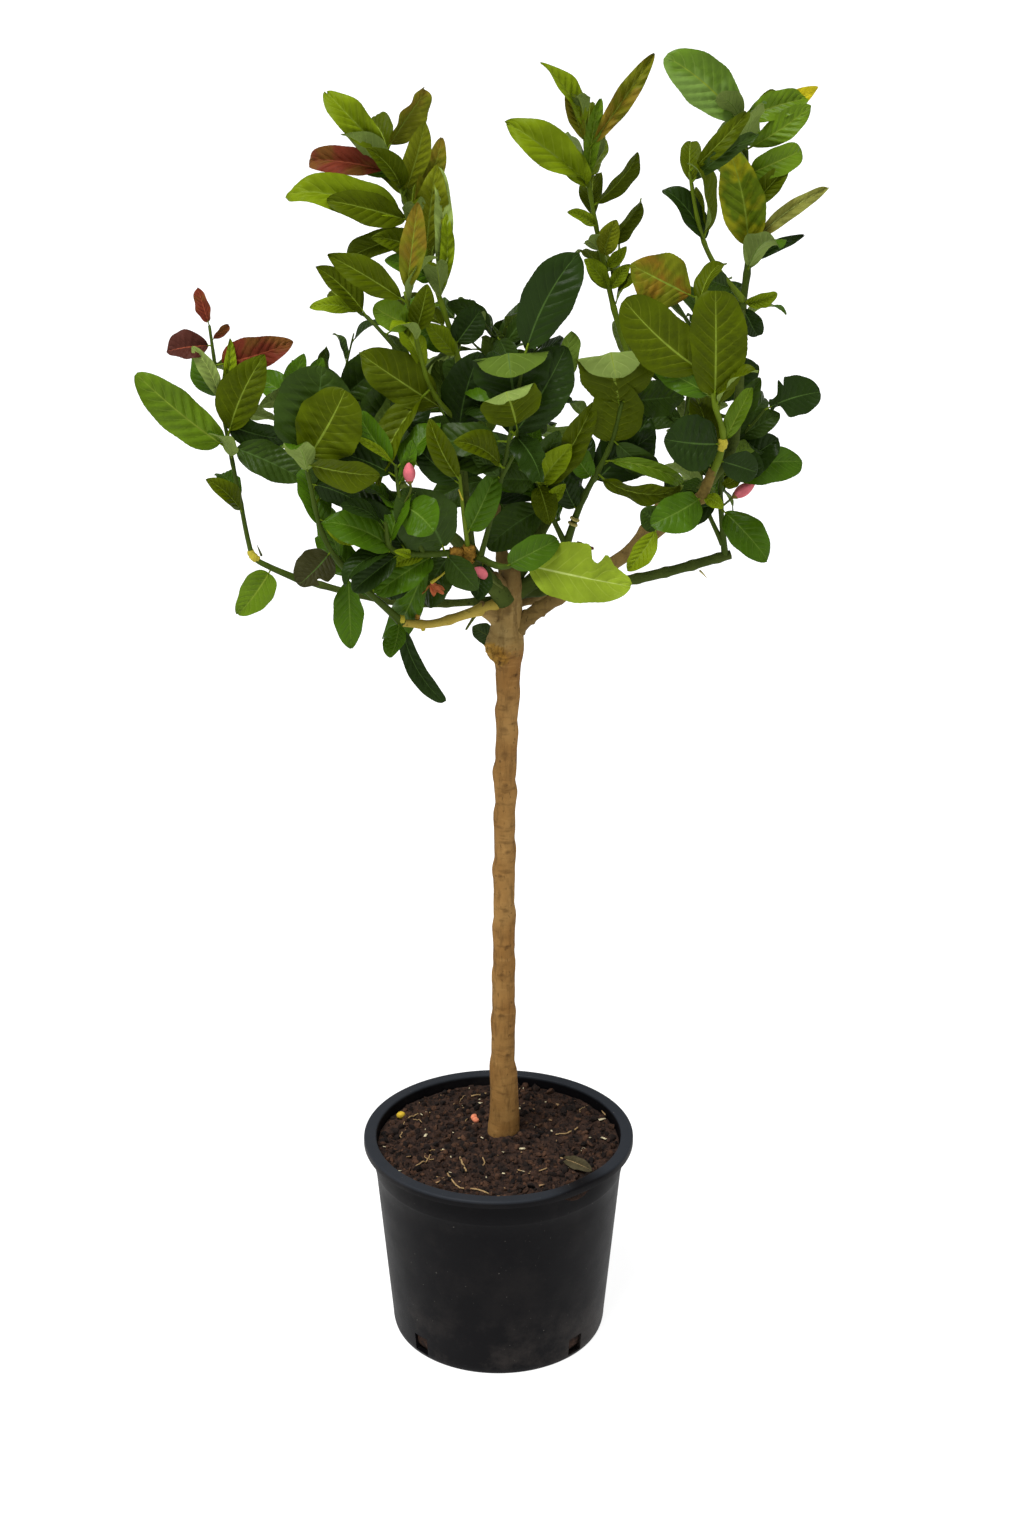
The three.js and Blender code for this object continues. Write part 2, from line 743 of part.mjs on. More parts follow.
// A flower bud: an egg shape at the end of its stalk
function budSolid(mass, row) {
  const [shoot, station, heading, rise, stalk] = row;
  const root = curveThrough(mass.shoots[shoot].path).getPoint(station);
  const direction = compass(heading, rise);
  const middle = root.clone().addScaledVector(direction, stalk);
  const egg = welded(new THREE.SphereGeometry(1, BUD.sides, BUD.rings));
  egg.scale(BUD.radius, BUD.length / 2, BUD.radius);
  egg.applyQuaternion(new THREE.Quaternion().setFromUnitVectors(REFERENCE, direction));
  egg.translate(middle.x, middle.y, middle.z);
  const path = [root.toArray(), middle.toArray()];
  return outward(egg).add(limbSolid(path, [BUD.stalk, BUD.stalk], FACETS.stalk));
}

// Points spread over a leaf, each with its station, for the clearance tests
function leafSamples(leaf) {
  const frame = leafFrame(leaf);
  const samples = [];
  for (let row = 0; row < SAMPLES.leafRows; row += 1) {
    const station = THREE.MathUtils.lerp(SAMPLES.leafFoot, 1, row / (SAMPLES.leafRows - 1));
    const halfWidth = halfWidthAt(leaf, station);
    for (const share of SAMPLES.leafShares) {
      samples.push({ station, place: leafPoint(leaf, frame, station, share * halfWidth, 0) });
    }
  }
  return samples;
}

// Spheres along a limb or shoot that stand for it in the clearance tests
function limbBeads(path, radii, owner) {
  const curve = curveThrough(path);
  const beads = [];
  const steps = (path.length - 1) * SAMPLES.limbSteps;
  for (let k = 0; k <= steps; k += 1) {
    const station = k / steps;
    const radius = THREE.MathUtils.lerp(radii[0], radii[1], station);
    beads.push({ station, place: curve.getPoint(station), radius, owner });
  }
  return beads;
}

// True where samples keep clear of the beads and of the leaves already taken
function isClear(samples, owner, beads, taken, leafClearance) {
  for (const sample of samples) {
    if (sample.station < CLEARANCE.freeRoot) {
      continue;
    }
    for (const bead of beads) {
      const reach = bead.radius + (bead.owner === owner ? 0 : CLEARANCE.limb);
      if (bead.place.distanceTo(sample.place) < reach) {
        return false;
      }
    }
    for (const other of taken) {
      const reach = other.owner === owner ? CLEARANCE.ownLeaf : leafClearance;
      if (other.place.distanceTo(sample.place) < reach) {
        return false;
      }
    }
  }
  return true;
}

function compass(heading, rise) {
  const level = Math.cos(radians(rise));
  return new THREE.Vector3(
    level * Math.cos(radians(heading)),
    level * Math.sin(radians(heading)),
    Math.sin(radians(rise)),
  );
}

function markedLeaf(mass, row) {
  const [shoot, station, heading, rise, length, turn, width] = row;
  const curve = curveThrough(mass.shoots[shoot].path);
  return {
    root: curve.getPoint(station),
    tangent: curve.getTangent(station).normalize(),
    chord: compass(heading, rise),
    length,
    turn,
    width,
    droop: LEAF.droop,
  };
}

// A direction that leaves the tangent by a spread, turned round it to a given angle
function branchDirection(tangent, around, spread) {
  const { across, over } = crossFrame(tangent);
  const direction = tangent.clone().multiplyScalar(Math.cos(radians(spread)));
  direction.addScaledVector(across, Math.sin(radians(spread)) * Math.cos(radians(around)));
  direction.addScaledVector(over, Math.sin(radians(spread)) * Math.sin(radians(around)));
  return direction;
}

// The rule: leaves follow a spiral up the shoot, closer to it towards the tip
function ruleLeaf(shoot, curve, index, swing, turn, size) {
  const station = shoot.from + ((1 - shoot.from) * (index + 0.5)) / shoot.leaves;
  const tangent = curve.getTangent(station).normalize();
  const spread = THREE.MathUtils.lerp(RULE.spreadFoot, RULE.spreadTip, station);
  const chord = branchDirection(tangent, shoot.phase + RULE.spiral * index + swing, spread);
  chord.z -= RULE.sag;
  chord.normalize();
  const length = shoot.length * size * THREE.MathUtils.lerp(RULE.lengthFoot, RULE.lengthTip, station);
  const root = curve.getPoint(station);
  return { root, tangent, chord, length, turn, width: LEAF.width, droop: LEAF.ruleDroop };
}

// The rule's side shoots: they leave the stem on the same spiral and bend upwards
function ruleTwig(mass, index, size) {
  const stem = mass.shoots[0];
  const curve = curveThrough(stem.path);
  const station = stem.from + ((RULE.twigEnd - stem.from) * (index + 0.5)) / mass.twigs;
  const tangent = curve.getTangent(station).normalize();
  const around = stem.phase + RULE.spiral * (index + 0.5);
  const direction = branchDirection(tangent, around, RULE.twigSpread);
  const foot = curve.getPoint(station);
  const length = RULE.twigLength * size;
  const bend = foot.clone().addScaledVector(direction, length / 2);
  const tip = foot.clone().addScaledVector(direction, length);
  tip.z += length * RULE.twigLift;
  return {
    path: [foot.toArray(), bend.toArray(), tip.toArray()],
    radii: RULE.twigRadii,
    leaves: RULE.twigLeaves,
    from: RULE.twigLeafFrom,
    length: stem.length * RULE.twigLeafLength,
    phase: around,
  };
}

// The space of a mass: the box round its named shoots and marked leaves, with a margin
function spaceOf(mass) {
  const box = new THREE.Box3();
  for (const shoot of mass.shoots) {
    for (const place of shoot.path) {
      box.expandByPoint(vector(place));
    }
  }
  for (const row of mass.marked) {
    const leaf = markedLeaf(mass, row);
    box.expandByPoint(leaf.root.clone().addScaledVector(leaf.chord, leaf.length));
  }
  return box.expandByScalar(RULE.spaceMargin);
}

// Where every shoot and leaf goes. Marked leaves come first, then the rule's twigs and
// leaves, each kept only where it stays in its mass's space and clear of the rest.
function growCrown() {
  const beads = [];
  for (const bough of BOUGHS) {
    beads.push(...limbBeads(bough.path, bough.radii, bough.name));
  }
  for (const mass of MASSES) {
    for (const shoot of mass.shoots) {
      beads.push(...limbBeads(shoot.path, shoot.radii, mass.name));
    }
  }
  const taken = [];
  const grown = MASSES.map((mass) => ({ mass, shoots: [...mass.shoots], leaves: [] }));
  function keep(entry, leaf, samples) {
    for (const sample of samples) {
      if (sample.station >= CLEARANCE.freeRoot) {
        taken.push({ place: sample.place, owner: entry.mass.name });
      }
    }
    entry.leaves.push(leaf);
  }
  for (const entry of grown) {
    for (const row of entry.mass.marked) {
      const leaf = markedLeaf(entry.mass, row);
      const samples = leafSamples(leaf);
      const others = taken.filter((sample) => sample.owner !== entry.mass.name);
      if (isClear(samples, entry.mass.name, [], others, CLEARANCE.marked)) {
        keep(entry, leaf, samples);
      }
    }
  }
  for (const entry of grown) {
    const { mass } = entry;
    const space = spaceOf(mass);
    const random = seeded(mass.seed);
    for (let index = 0; index < mass.twigs; index += 1) {
      const twig = ruleTwig(mass, index, 1 + RULE.lengthRange * (random() - 0.5));
      const row = limbBeads(twig.path, twig.radii, mass.name);
      const fits = row.every((bead) => space.containsPoint(bead.place));
      const rest = beads.filter((bead) => bead.owner !== mass.name);
      if (fits && isClear(row, mass.name, rest, taken, CLEARANCE.otherLeaf)) {
        entry.shoots.push(twig);
        beads.push(...row);
      }
    }
    for (const shoot of entry.shoots) {
      const curve = curveThrough(shoot.path);
      for (let index = 0; index < shoot.leaves; index += 1) {
        const size = 1 + RULE.lengthRange * (random() - 0.5);
        const turn = RULE.turnRange * (random() - 0.5);
        for (const swing of RULE.tries) {
          const leaf = ruleLeaf(shoot, curve, index, swing, turn, size);
          const samples = leafSamples(leaf);
          const fits = samples.every((sample) => space.containsPoint(sample.place));
          if (fits && isClear(samples, mass.name, beads, taken, CLEARANCE.otherLeaf)) {
            keep(entry, leaf, samples);
            break;
          }
        }
      }
    }
  }
  return grown;
}

// The tree put together

const tree = new THREE.Group();

function addMesh(name, solid, finish) {
  const mesh = new THREE.Mesh(geometryOf(solid), new THREE.MeshStandardMaterial(FINISHES[finish]));
  mesh.name = name;
  tree.add(mesh);
}

addMesh('pot', potSolid(), 'pot');
addMesh('soil', soilSolid(), 'soil');
addMesh('trunk', trunkSolid(), 'trunk');

// Boughs are cut clear of the trunk and of the boughs before them
let limbs = trunkSolid(GAP);
for (const { name, path, radii } of BOUGHS) {
  const solid = limbSolid(path, radii, FACETS.bough).subtract(limbs);
  addMesh(name, largestBody(solid), 'bough');
  limbs = limbs.add(limbSolid(path, radii, FACETS.bough, GAP));
}

// Each mass is its shoots and leaves in one body, cut clear of the limbs and kept off the
// masses before it
let others = null;
for (const { mass, shoots, leaves } of growCrown()) {
  const sticks = shoots.map((shoot) => limbSolid(shoot.path, shoot.radii, FACETS.shoot));
  let solid = sticks.reduce((whole, stick) => whole.add(stick));
  const pieces = [...leaves.map(leafSolid), ...(mass.buds ?? []).map((row) => budSolid(mass, row))];
  for (const piece of pieces) {
    if (others === null || piece.intersect(others).isEmpty()) {
      solid = solid.add(piece);
    }
  }
  solid = largestBody(solid.subtract(limbs));
  addMesh(mass.name, solid, 'leaf');
  others = others === null ? solid : others.add(solid);
}

export default tree;
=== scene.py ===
# A young potted citron tree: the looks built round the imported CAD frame.
# Sizes and places are millimetres here and become metres when a mesh is made.

import math

import bpy
import numpy as np
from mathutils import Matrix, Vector, noise


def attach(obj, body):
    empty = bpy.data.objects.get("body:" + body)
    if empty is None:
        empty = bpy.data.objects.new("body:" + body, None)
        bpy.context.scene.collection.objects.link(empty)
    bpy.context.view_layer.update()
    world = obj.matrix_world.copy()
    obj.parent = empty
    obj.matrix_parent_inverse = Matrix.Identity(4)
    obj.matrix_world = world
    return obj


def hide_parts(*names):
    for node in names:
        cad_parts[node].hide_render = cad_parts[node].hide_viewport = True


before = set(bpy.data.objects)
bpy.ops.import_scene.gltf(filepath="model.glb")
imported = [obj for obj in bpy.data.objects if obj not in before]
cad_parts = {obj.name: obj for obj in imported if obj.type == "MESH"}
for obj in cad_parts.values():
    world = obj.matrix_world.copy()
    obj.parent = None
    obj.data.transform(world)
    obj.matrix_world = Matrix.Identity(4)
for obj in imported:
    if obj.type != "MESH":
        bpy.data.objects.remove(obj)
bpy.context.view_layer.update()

MM = 0.001
UP = np.array([0.0, 0.0, 1.0])
REFERENCE = np.array([0.0, 1.0, 0.0])
DRAW = dict(factor=1664525, step=1013904223, size=2 ** 32)
SEEDS = dict(crumbs=41, litter=57, growth=77)
WHITE = (1.0, 1.0, 1.0, 1.0)

# Camera at the photograph's viewing angle, in metres
CAMERA = dict(location=(0.0143, -2.028, 1.348), pitch_down=19.7, lens=51.56, sensor=36.0)

# The pot, as in the frame
POT = dict(
    height=220, rim_radius=140, rim_thickness=3, rim_round=2.5, lip_drop=8, lip_thickness=2.5,
    mouth_radius=127, shoulder_height=184, shoulder_step=1, wall_top=129, wall_foot=112.5,
    wall=2.8, floor=4, foot_radius=108.5, foot_rise=12, slot_width=18, slot_height=20, slot_foot=5,
    slot_headings=(45, 135, 225, 315), slot_reach=16, recess=1.5, recess_radius=60, neck_round=1.5,
    lip_round=0.6, mouth_round=2,
)
SOIL = dict(level=210, mound=2, mound_radius=110, rough=3.4, lumps=4.0, trunk_ease=26, trunk_rise=1.5,
            wall_from=112, wall_ease=14)

# The trunk's foot, the height at which its forward lean ends, and its rings: height, radius and lean to the
# right
TRUNK_FOOT = (4.0, 20.0)
UPRIGHT = 720
TRUNK_RINGS = [
    (210.3, 16.6, 0), (228, 15.6, 2), (262, 14.6, 2), (292, 12.6, 1), (420, 10.8, 2), (600, 10.2, 3.5),
    (690, 10.7, 6), (730, 12.2, 7), (742, 17.8, 4.5), (762, 16.4, 4.5), (778, 13.6, 6.5), (802, 10.4, 9.5),
    (826, 8.4, 9.5),
]


def bough(name, bark, flare, radii, *path):
    """A bough: its bark, how much its foot flares, its radii at foot and tip, and the places it passes."""
    return dict(name=name, bark=bark, flare=flare, radii=radii, path=path)


BOUGHS = [
    bough("bough_left_low", "green", 0.5, (3.6, 3.2), (4, 2, 791), (-92, 22, 783), (-188, 10, 809)),
    bough("bough_left", "straw", 0.5, (5, 3.5),
          (9, -1, 791), (-28, -13, 782), (-60, -26, 776), (-90, -38, 780)),
    bough("bough_front", "green", 0.5, (7.4, 6.6), (8, -4, 794), (-10, -20, 820), (-24, -34, 848)),
    bough("bough_tall_left", "green", 0.2, (3.8, 3.3), (-24, -34, 852), (-30, -30, 915), (-35, -20, 952)),
    bough("bough_centre", "green", 0.5, (7, 5.6), (13, 2, 795), (45, 14, 815), (64, 19, 836)),
    bough("bough_right", "brown", 0.6, (8, 5.8),
          (12, 0, 758), (31, -1, 776), (55, -4, 794), (120, -14, 839), (190, -25, 898)),
    bough("bough_tall_right", "green", 0.3, (5, 3.8), (190, -23, 902), (220, -10, 950), (225, 15, 1065)),
    bough("bough_right_low", "green", 0.5, (5.2, 4.6), (14, 6, 797), (130, 45, 800), (225, 62, 820)),
    bough("bough_tall_centre", "green", 0.4, (5.6, 3.6), (12, 8, 800), (70, 70, 885), (150, 100, 955)),
    bough("bough_back_right", "brown", 0.4, (6, 4), (12, 9, 786), (110, 85, 800), (175, 140, 870)),
    bough("bough_back", "brown", 0.4, (6, 4.4), (10, 6, 808), (0, 55, 850), (-5, 100, 880)),
    bough("bough_back_left", "green", 0.4, (5.6, 4), (6, 6, 800), (-60, 85, 850), (-95, 110, 880)),
]


def shoot_row(path, radii, leaves=0, start=0.5, length=50, phase=0, skip=()):
    """A shoot: its path and radii, how many leaves the rule sets along it and from which station, their
    length, where their spiral starts, and the numbers of those that the photograph has no place for."""
    return dict(path=path, radii=radii, leaves=leaves, start=start, length=length, phase=phase, skip=skip)


def mass_row(name, seed, palette, shoots, marked, added=(), twigs=0, fine=0, deep=None):
    """A mass of leaves. It starts at its bough's tip: its first shoot is the stem, and the others branch
    from it. twigs counts the rule's side shoots, fine the finer ones, and palette has their tints."""
    return dict(name=name, seed=seed, palette=palette.split(), shoots=shoots, marked=marked, added=added,
                twigs=twigs, fine=fine, deep=deep)


# Marked leaves, which the source has too: shoot, station, heading, rise, length, turn, width over length,
# tint and, where it isn't a plain one, form. Added leaves are the same, and only the looks carry them. deep
# says how many deep leaves there are, the least share of one that is hidden, their distance from others and
# their tints.
MASSES = [
    mass_row("leaves_left_outer", 11, "mid olive", deep=(3, 0.82, 5, "mid"), shoots=[
        shoot_row([(-186, 10, 808), (-216, 2, 824), (-230, 0, 834), (-235, 0, 851), (-241, 2, 888),
                   (-249, 8, 933), (-258, 18, 984),
                   (-266, 28, 1047)], (3.2, 1.5), 4, 0.5, 60, 300, skip=(2, 3)),
    ], marked=[
        (0, 0.13, -166, -52, 55, -80, 0.59, "fresh", "tapered"), (0, 0.53, -145, 45, 52, -90, 0.43, "olive"),
        (0, 0.72, -163, 42, 112, -100, 0.35, "fresh", "broad"),
        (0, 0.73, -8, -23, 76, 80, 0.46, "dark", "quilted"),
        (0, 0.75, -9, 64, 88, 110, 0.48, "olive", "quilted"), (0, 0.79, -5, -13, 60, 110, 0.54, "dark"),
        (0, 0.84, -160, 66, 59, -130, 0.31, "pale", "folded"),
        (0, 0.92, 6, 16, 76, 90, 0.44, "red", "tapered"), (0, 0.96, -156, -4, 44, -70, 0.73, "purple"),
        (0, 1, 174, 75, 36, -150, 0.45, "red"), (0, 0.97, 29, 36, 22, 110, 0.45, "red"),
    ], added=[
        (0, 0.84, 21, 79, 60, 120, 0.22, "light", "folded"),
    ]),
    mass_row("leaves_left_inner", 712, "mid dark", deep=(5, 0.6, 2.5, "mid dark"), shoots=[
        shoot_row([(-89, -38, 780), (-150, -80, 860),
                   (-170, -95, 945)], (3.4, 1.8), 5, 0.2, 70, 270, skip=(3,)),
    ], marked=[
        (0, 0, -6, -63, 86, -30, 0.22, "dark", "strap"), (0, 0.02, -105, -45, 40, -20, 0.6, "mid", "cupped"),
        (0, 0.36, -80, -80, 70, -40, 0.42, "mid"), (0, 0.5, -140, -35, 45, -50, 0.8, "dull", "notched"),
        (0, 1, -12, 59, 76, 80, 0.79, "olive", "broad"), (0, 0.99, -15, -5, 70, 100, 0.5, "olive"),
        (0, 0.88, 15, -25, 50, 100, 0.5, "dark"), (0, 0.69, 15, -30, 45, 90, 0.55, "light"),
    ], added=[
        (0, 1, 41, 75, 85, 60, 0.87, "dark", "broad"),
    ]),
    mass_row("leaves_tall_left", 13, "olive light mid", deep=(8, 0.82, 5, "olive mid fresh"), shoots=[
        shoot_row([(-35, -20, 951), (-35, -5, 1020), (-70, 15, 1125),
                   (-100, 30, 1205)], (3.5, 1.5), 9, 0.3, 75, 195),
        shoot_row([(-35, -18, 965), (-60, -45, 1005),
                   (-80, -65, 1090)], (2.8, 1.6), 4, 0.3, 65, 105, skip=(0,)),
        shoot_row([(-58, -43, 1000), (-110, -20, 1055),
                   (-125, -10, 1065)], (2.2, 1.5), 2, 0.5, 60, 45, skip=(0, 1)),
    ], marked=[
        (0, 0.98, -170, 45, 75, -110, 0.45, "light"), (0, 0.99, 25, 55, 65, 130, 0.45, "bronze"),
        (0, 0.82, -34, 69, 71, 120, 0.35, "spring", "pleated"),
        (0, 0.73, 12, 69, 78, 100, 0.29, "bronze", "pleated"), (0, 0.91, 165, 5, 82, -70, 0.4, "red"),
        (0, 0.61, -36, 81, 86, 120, 0.39, "spring", "pleated"),
        (1, 0.97, 27, 81, 82, 50, 0.3, "bronze", "pleated"),
        (0, 0.51, -42, 83, 77, 120, 0.2, "light", "folded"), (0, 0.74, -175, 10, 115, -70, 0.38, "light"),
        (0, 0.73, -155, 15, 85, -90, 0.4, "olive"), (0, 0.34, -145, 45, 50, -110, 0.45, "light", "pleated"),
        (0, 0.38, 25, 50, 40, 90, 0.75, "dark"), (1, 0.16, -169, 35, 100, -20, 0.45, "olive", "wavy"),
        (1, 0.47, -145, -55, 100, -10, 0.4, "olive", "folded"),
        (1, 0.94, -170, 32, 82, -70, 0.38, "olive", "folded"), (2, 0.64, -165, 45, 65, -160, 0.4, "olive"),
        (2, 0.97, -180, 5, 45, -120, 0.4, "light"), (0, 0.69, 180, -20, 70, -80, 0.4, "olive"),
        (0, 0.62, -145, 20, 60, -100, 0.42, "olive"), (0, 0.55, -150, 25, 55, -100, 0.45, "mid"),
        (0, 0.83, -135, 45, 60, -130, 0.42, "olive"),
    ], added=[
        (1, 0.79, -49, 68, 49, 100, 0.48, "olive", "pleated"), (1, 0.83, -173, 27, 39, -70, 0.73, "fresh"),
        (0, 0.36, 163, 28, 40, -80, 0.55, "mid"), (0, 0, -47, 70, 88, 150, 0.56, "deep", "flat"),
        (0, 0, -166, 17, 53, -90, 0.38, "dark"), (0, 0.53, 65, 87, 109, 110, 0.17, "pale", "folded"),
    ]),
    mass_row("leaves_centre_left", 814, "dark mid dark", twigs=1, deep=(6, 0.6, 2.5, "dark mid"), shoots=[
        shoot_row([(-27, -38, 848), (-90, -85, 860),
                   (-100, -95, 890)], (3.4, 1.8), 6, 0.2, 70, 105, skip=(0, 3, 5)),
        shoot_row([(-68, -68, 856), (-85, -80, 900),
                   (-90, -82, 940)], (2.4, 1.6), 4, 0.3, 60, 0, skip=(1, 3)),
    ], marked=[
        (0, 0.15, -145, 55, 80, 70, 0.75, "dark"), (0, 0.45, -135, 65, 75, 80, 0.32, "mid", "folded"),
        (0, 0.5, -165, 25, 75, 30, 0.5, "mid"), (0, 0.47, -160, -35, 55, -30, 0.5, "dark"),
        (0, 0.2, -150, -25, 70, -30, 0.5, "mid"), (0, 0.15, -20, -45, 45, -40, 0.6, "dark"),
        (0, 0.25, 155, -45, 65, -20, 0.5, "dark"), (0, 0.11, 135, -55, 65, -30, 0.6, "dark"),
    ], added=[
        (0, 0.25, 116, -46, 143, -50, 0.2, "mid", "plain"),
        (0, 0.25, -154, -11, 37, -40, 0.42, "light", "cupped"), (0, 0.37, -124, 18, 28, 160, 0.36, "light"),
        (1, 0.53, -39, -26, 43, 40, 0.92, "mid", "flat"),
        (1, 0.98, -157, 37, 51, -90, 0.17, "light", "folded"), (1, 0.98, 152, 50, 60, -50, 0.39, "mid"),
        (1, 0.75, -23, 70, 46, 100, 0.29, "mid"),
    ]),
    mass_row("leaves_centre_front", 515, "dark deep olive", deep=(4, 0.6, 2.5, "dark"), shoots=[
        shoot_row([(-20, -40, 845), (5, -60, 840),
                   (25, -75, 850)], (3.4, 1.8), 2, 0.2, 55, 180, skip=(0, 1)),
        shoot_row([(-15, -44, 844), (5, -64, 925), (15, -80, 980),
                   (25, -92, 1036)], (2.4, 1.4), 8, 0.2, 75, 165, skip=(0, 1, 2, 6, 7)),
        shoot_row([(-26, -44, 850), (-30, -62, 890), (-33, -75, 930)], (2.3, 1.6)),
        shoot_row([(5, -66, 925), (18, -76, 952), (19, -96, 974)], (1.6, 1.1)),
    ], marked=[
        (0, 0.85, -4, -11, 106, 40, 0.52, "lime", "notched"),
        (0, 0.59, -10, 30, 55, -20, 0.55, "mid", "arched"),
        (0, 0.16, -120, -72, 37, 60, 0.65, "dark", "cupped"),
        (1, 0.75, -123, 79, 49, -80, 1.45, "deep", "draped"),
        (3, 0.99, -146, 68, 38, -20, 1.44, "olive", "hooked"),
        (1, 0.54, -11, 59, 99, 50, 0.55, "dark", "quilted"), (1, 1, 16, 61, 102, 40, 0.45, "dark"),
        (1, 0.37, -136, 29, 69, -50, 0.43, "olive"), (2, 0.22, -12, 65, 69, 50, 0.43, "mid", "plain"),
        (1, 0.6, -73, -18, 92, 40, 0.3, "dark", "cupped"),
    ], added=[
        (2, 0.92, -152, 63, 66, -70, 0.39, "olive"), (2, 0.87, 172, 40, 53, -50, 0.58, "dark"),
        (1, 0.32, -167, 44, 38, -70, 0.38, "dark"),
    ]),
    mass_row("leaves_centre", 16, "dark mid olive", deep=(8, 0.9, 5, "dark mid dark"), shoots=[
        shoot_row([(64, 19, 835), (80, 10, 885), (105, -5, 940),
                   (115, -20, 985)], (3.8, 1.6), 5, 0.3, 75, 105, skip=(0, 2, 3, 4)),
        shoot_row([(66, 19, 840), (50, 10, 875), (40, 0, 900), (30, -20, 940)], (2.8, 1.6), 5, 0.3, 70, 210),
    ], marked=[
        (1, 0.6, -25, 60, 105, 80, 0.3, "olive"), (1, 0.75, -160, 5, 40, -40, 0.7, "dark"),
        (0, 0.51, -15, -5, 80, 110, 0.3, "olive", "arched"),
        (0, 0.67, -63, 74, 66, -80, 0.78, "olive", "broad"),
        (0, 0.95, -136, 78, 56, -60, 1.27, "olive", "draped"), (0, 0.55, 10, 30, 60, 60, 0.5, "dark"),
        (0, 0.72, 15, -35, 55, 90, 0.5, "dark"), (1, 0.4, -157, -29, 70, -60, 0.54, "dark", "quilted"),
        (1, 0.83, -40, 55, 50, 90, 0.5, "dark"),
    ], added=[
        (1, 0.67, -41, 49, 60, 70, 0.46, "light"), (0, 0.27, -146, 65, 51, -90, 0.52, "dark"),
        (0, 0.47, -162, 56, 47, -70, 0.52, "mid"), (1, 0.96, -139, 27, 58, -80, 0.32, "dark", "flat"),
        (1, 0.99, -102, -23, 33, -30, 0.5, "mid", "flat"), (1, 0.73, -58, -59, 42, 0, 0.63, "olive"),
        (1, 0.5, -57, 32, 42, 80, 0.35, "light"), (0, 0.43, 25, 44, 86, 20, 0.63, "deep", "flat"),
        (0, 1, 27, 0, 66, 60, 0.53, "dark", "flat"), (0, 0.58, 5, -18, 77, 60, 0.21, "fresh", "arched"),
    ]),
    mass_row("leaves_tall_centre", 217, "olive light", deep=(5, 0.82, 5, "light mid"), shoots=[
        shoot_row([(149, 99, 954), (120, 95, 1025), (100, 90, 1100), (85, 80, 1175),
                   (80, 70, 1235)], (3.5, 1.5), 8, 0.3, 55, 165),
    ], marked=[
        (0, 0.73, -170, 35, 95, -70, 0.45, "light"), (0, 0.92, -165, 55, 75, -40, 0.4, "light"),
        (0, 0.84, -6, 55, 107, 80, 0.21, "bronze", "folded"), (0, 0.66, -15, 50, 65, 130, 0.4, "olive"),
        (0, 0.53, 15, 50, 60, 110, 0.45, "olive"), (0, 0.6, -150, 25, 35, -70, 0.45, "light"),
        (0, 0.41, -150, 45, 40, -100, 0.5, "light"),
    ], added=[
        (0, 0.73, -49, 80, 78, 80, 0.21, "fresh", "folded"),
        (0, 0.87, -168, 69, 53, -70, 0.3, "bronze", "folded"),
        (0, 0.71, -154, 52, 59, -100, 0.41, "light", "pleated"),
        (0, 0.5, -45, 66, 41, 100, 0.57, "spring", "folded"), (0, 0.47, -17, 46, 30, 90, 0.44, "light"),
        (0, 0.4, -156, 49, 38, -110, 0.45, "light", "folded"),
        (0, 0.4, -12, 54, 32, 80, 0.47, "light", "folded"),
    ]),
    mass_row("leaves_tall_right", 618, "mid olive", deep=(7, 0.82, 5, "fresh mid olive"), shoots=[
        shoot_row([(225, 15, 1064), (230, 20, 1115), (225, 30, 1205),
                   (220, 30, 1230)], (3.6, 1.6), 6, 0.15, 70, 105, skip=(1,)),
        shoot_row([(226, 14, 1072), (195, -8, 1110), (180, -25, 1145),
                   (170, -35, 1190)], (2.8, 1.5), 3, 0.4, 60, 255),
    ], marked=[
        (0, 0.88, -170, 40, 95, -80, 0.47, "sheen", "broad"), (0, 1, 6, 17, 62, 80, 0.46, "fresh", "folded"),
        (0, 0.66, -4, 34, 69, 90, 0.36, "fresh", "quilted"),
        (0, 0.57, -5, 24, 53, 90, 0.51, "fresh", "arched"), (0, 0.35, 0, 37, 88, 90, 0.2, "tan", "folded"),
        (0, 0.28, 9, 25, 57, 80, 0.21, "dark", "folded"),
        (0, 0.31, -144, 73, 107, -140, 0.4, "mottled", "pleated"), (0, 0.03, -25, 20, 35, 120, 0.5, "light"),
        (1, 0.47, -165, 50, 65, 0, 0.42, "dark"), (1, 0.53, -125, 65, 75, 110, 0.42, "olive"),
        (1, 1, -10, 46, 70, 70, 0.25, "olive", "arched"), (1, 0.93, -10, 37, 70, 80, 0.21, "dark", "arched"),
        (1, 0.1, -155, 20, 40, -60, 0.55, "dark"),
    ], added=[
        (0, 0.99, 11, 21, 76, 80, 0.24, "yellow", "plain"),
        (0, 0.47, -17, 48, 52, 100, 0.45, "olive", "folded"), (0, 0.02, 26, -58, 34, 120, 0.59, "dark"),
    ]),
    mass_row("leaves_right_front", 19, "olive dark", deep=(6, 0.6, 2.5, "mid dark olive"), shoots=[
        shoot_row([(190, -26, 896), (206, -44, 951), (196, -62, 991), (185, -60, 1037),
                   (177, -54, 1085)], (3.5, 1.6), 6, 0.1, 70, 255, skip=(1, 4)),
        shoot_row([(163, -22, 874), (155, -36, 874), (148, -46, 874)], (1.9, 1.4)),
    ], marked=[
        (0, 0.99, -172, 27, 67, -100, 0.76, "orange", "flat"),
        (0, 0.64, -170, 41, 104, -110, 0.51, "olive", "broad"),
        (0, 0.5, -102, 79, 104, 90, 0.49, "olive", "oblong"),
        (0, 0.25, -153, 9, 63, -60, 0.83, "dark", "quilted"), (0, 0.17, 10, -18, 40, 80, 0.76, "dark"),
    ], added=[
        (0, 0.25, -9, 65, 57, 40, 0.32, "fresh", "plain"),
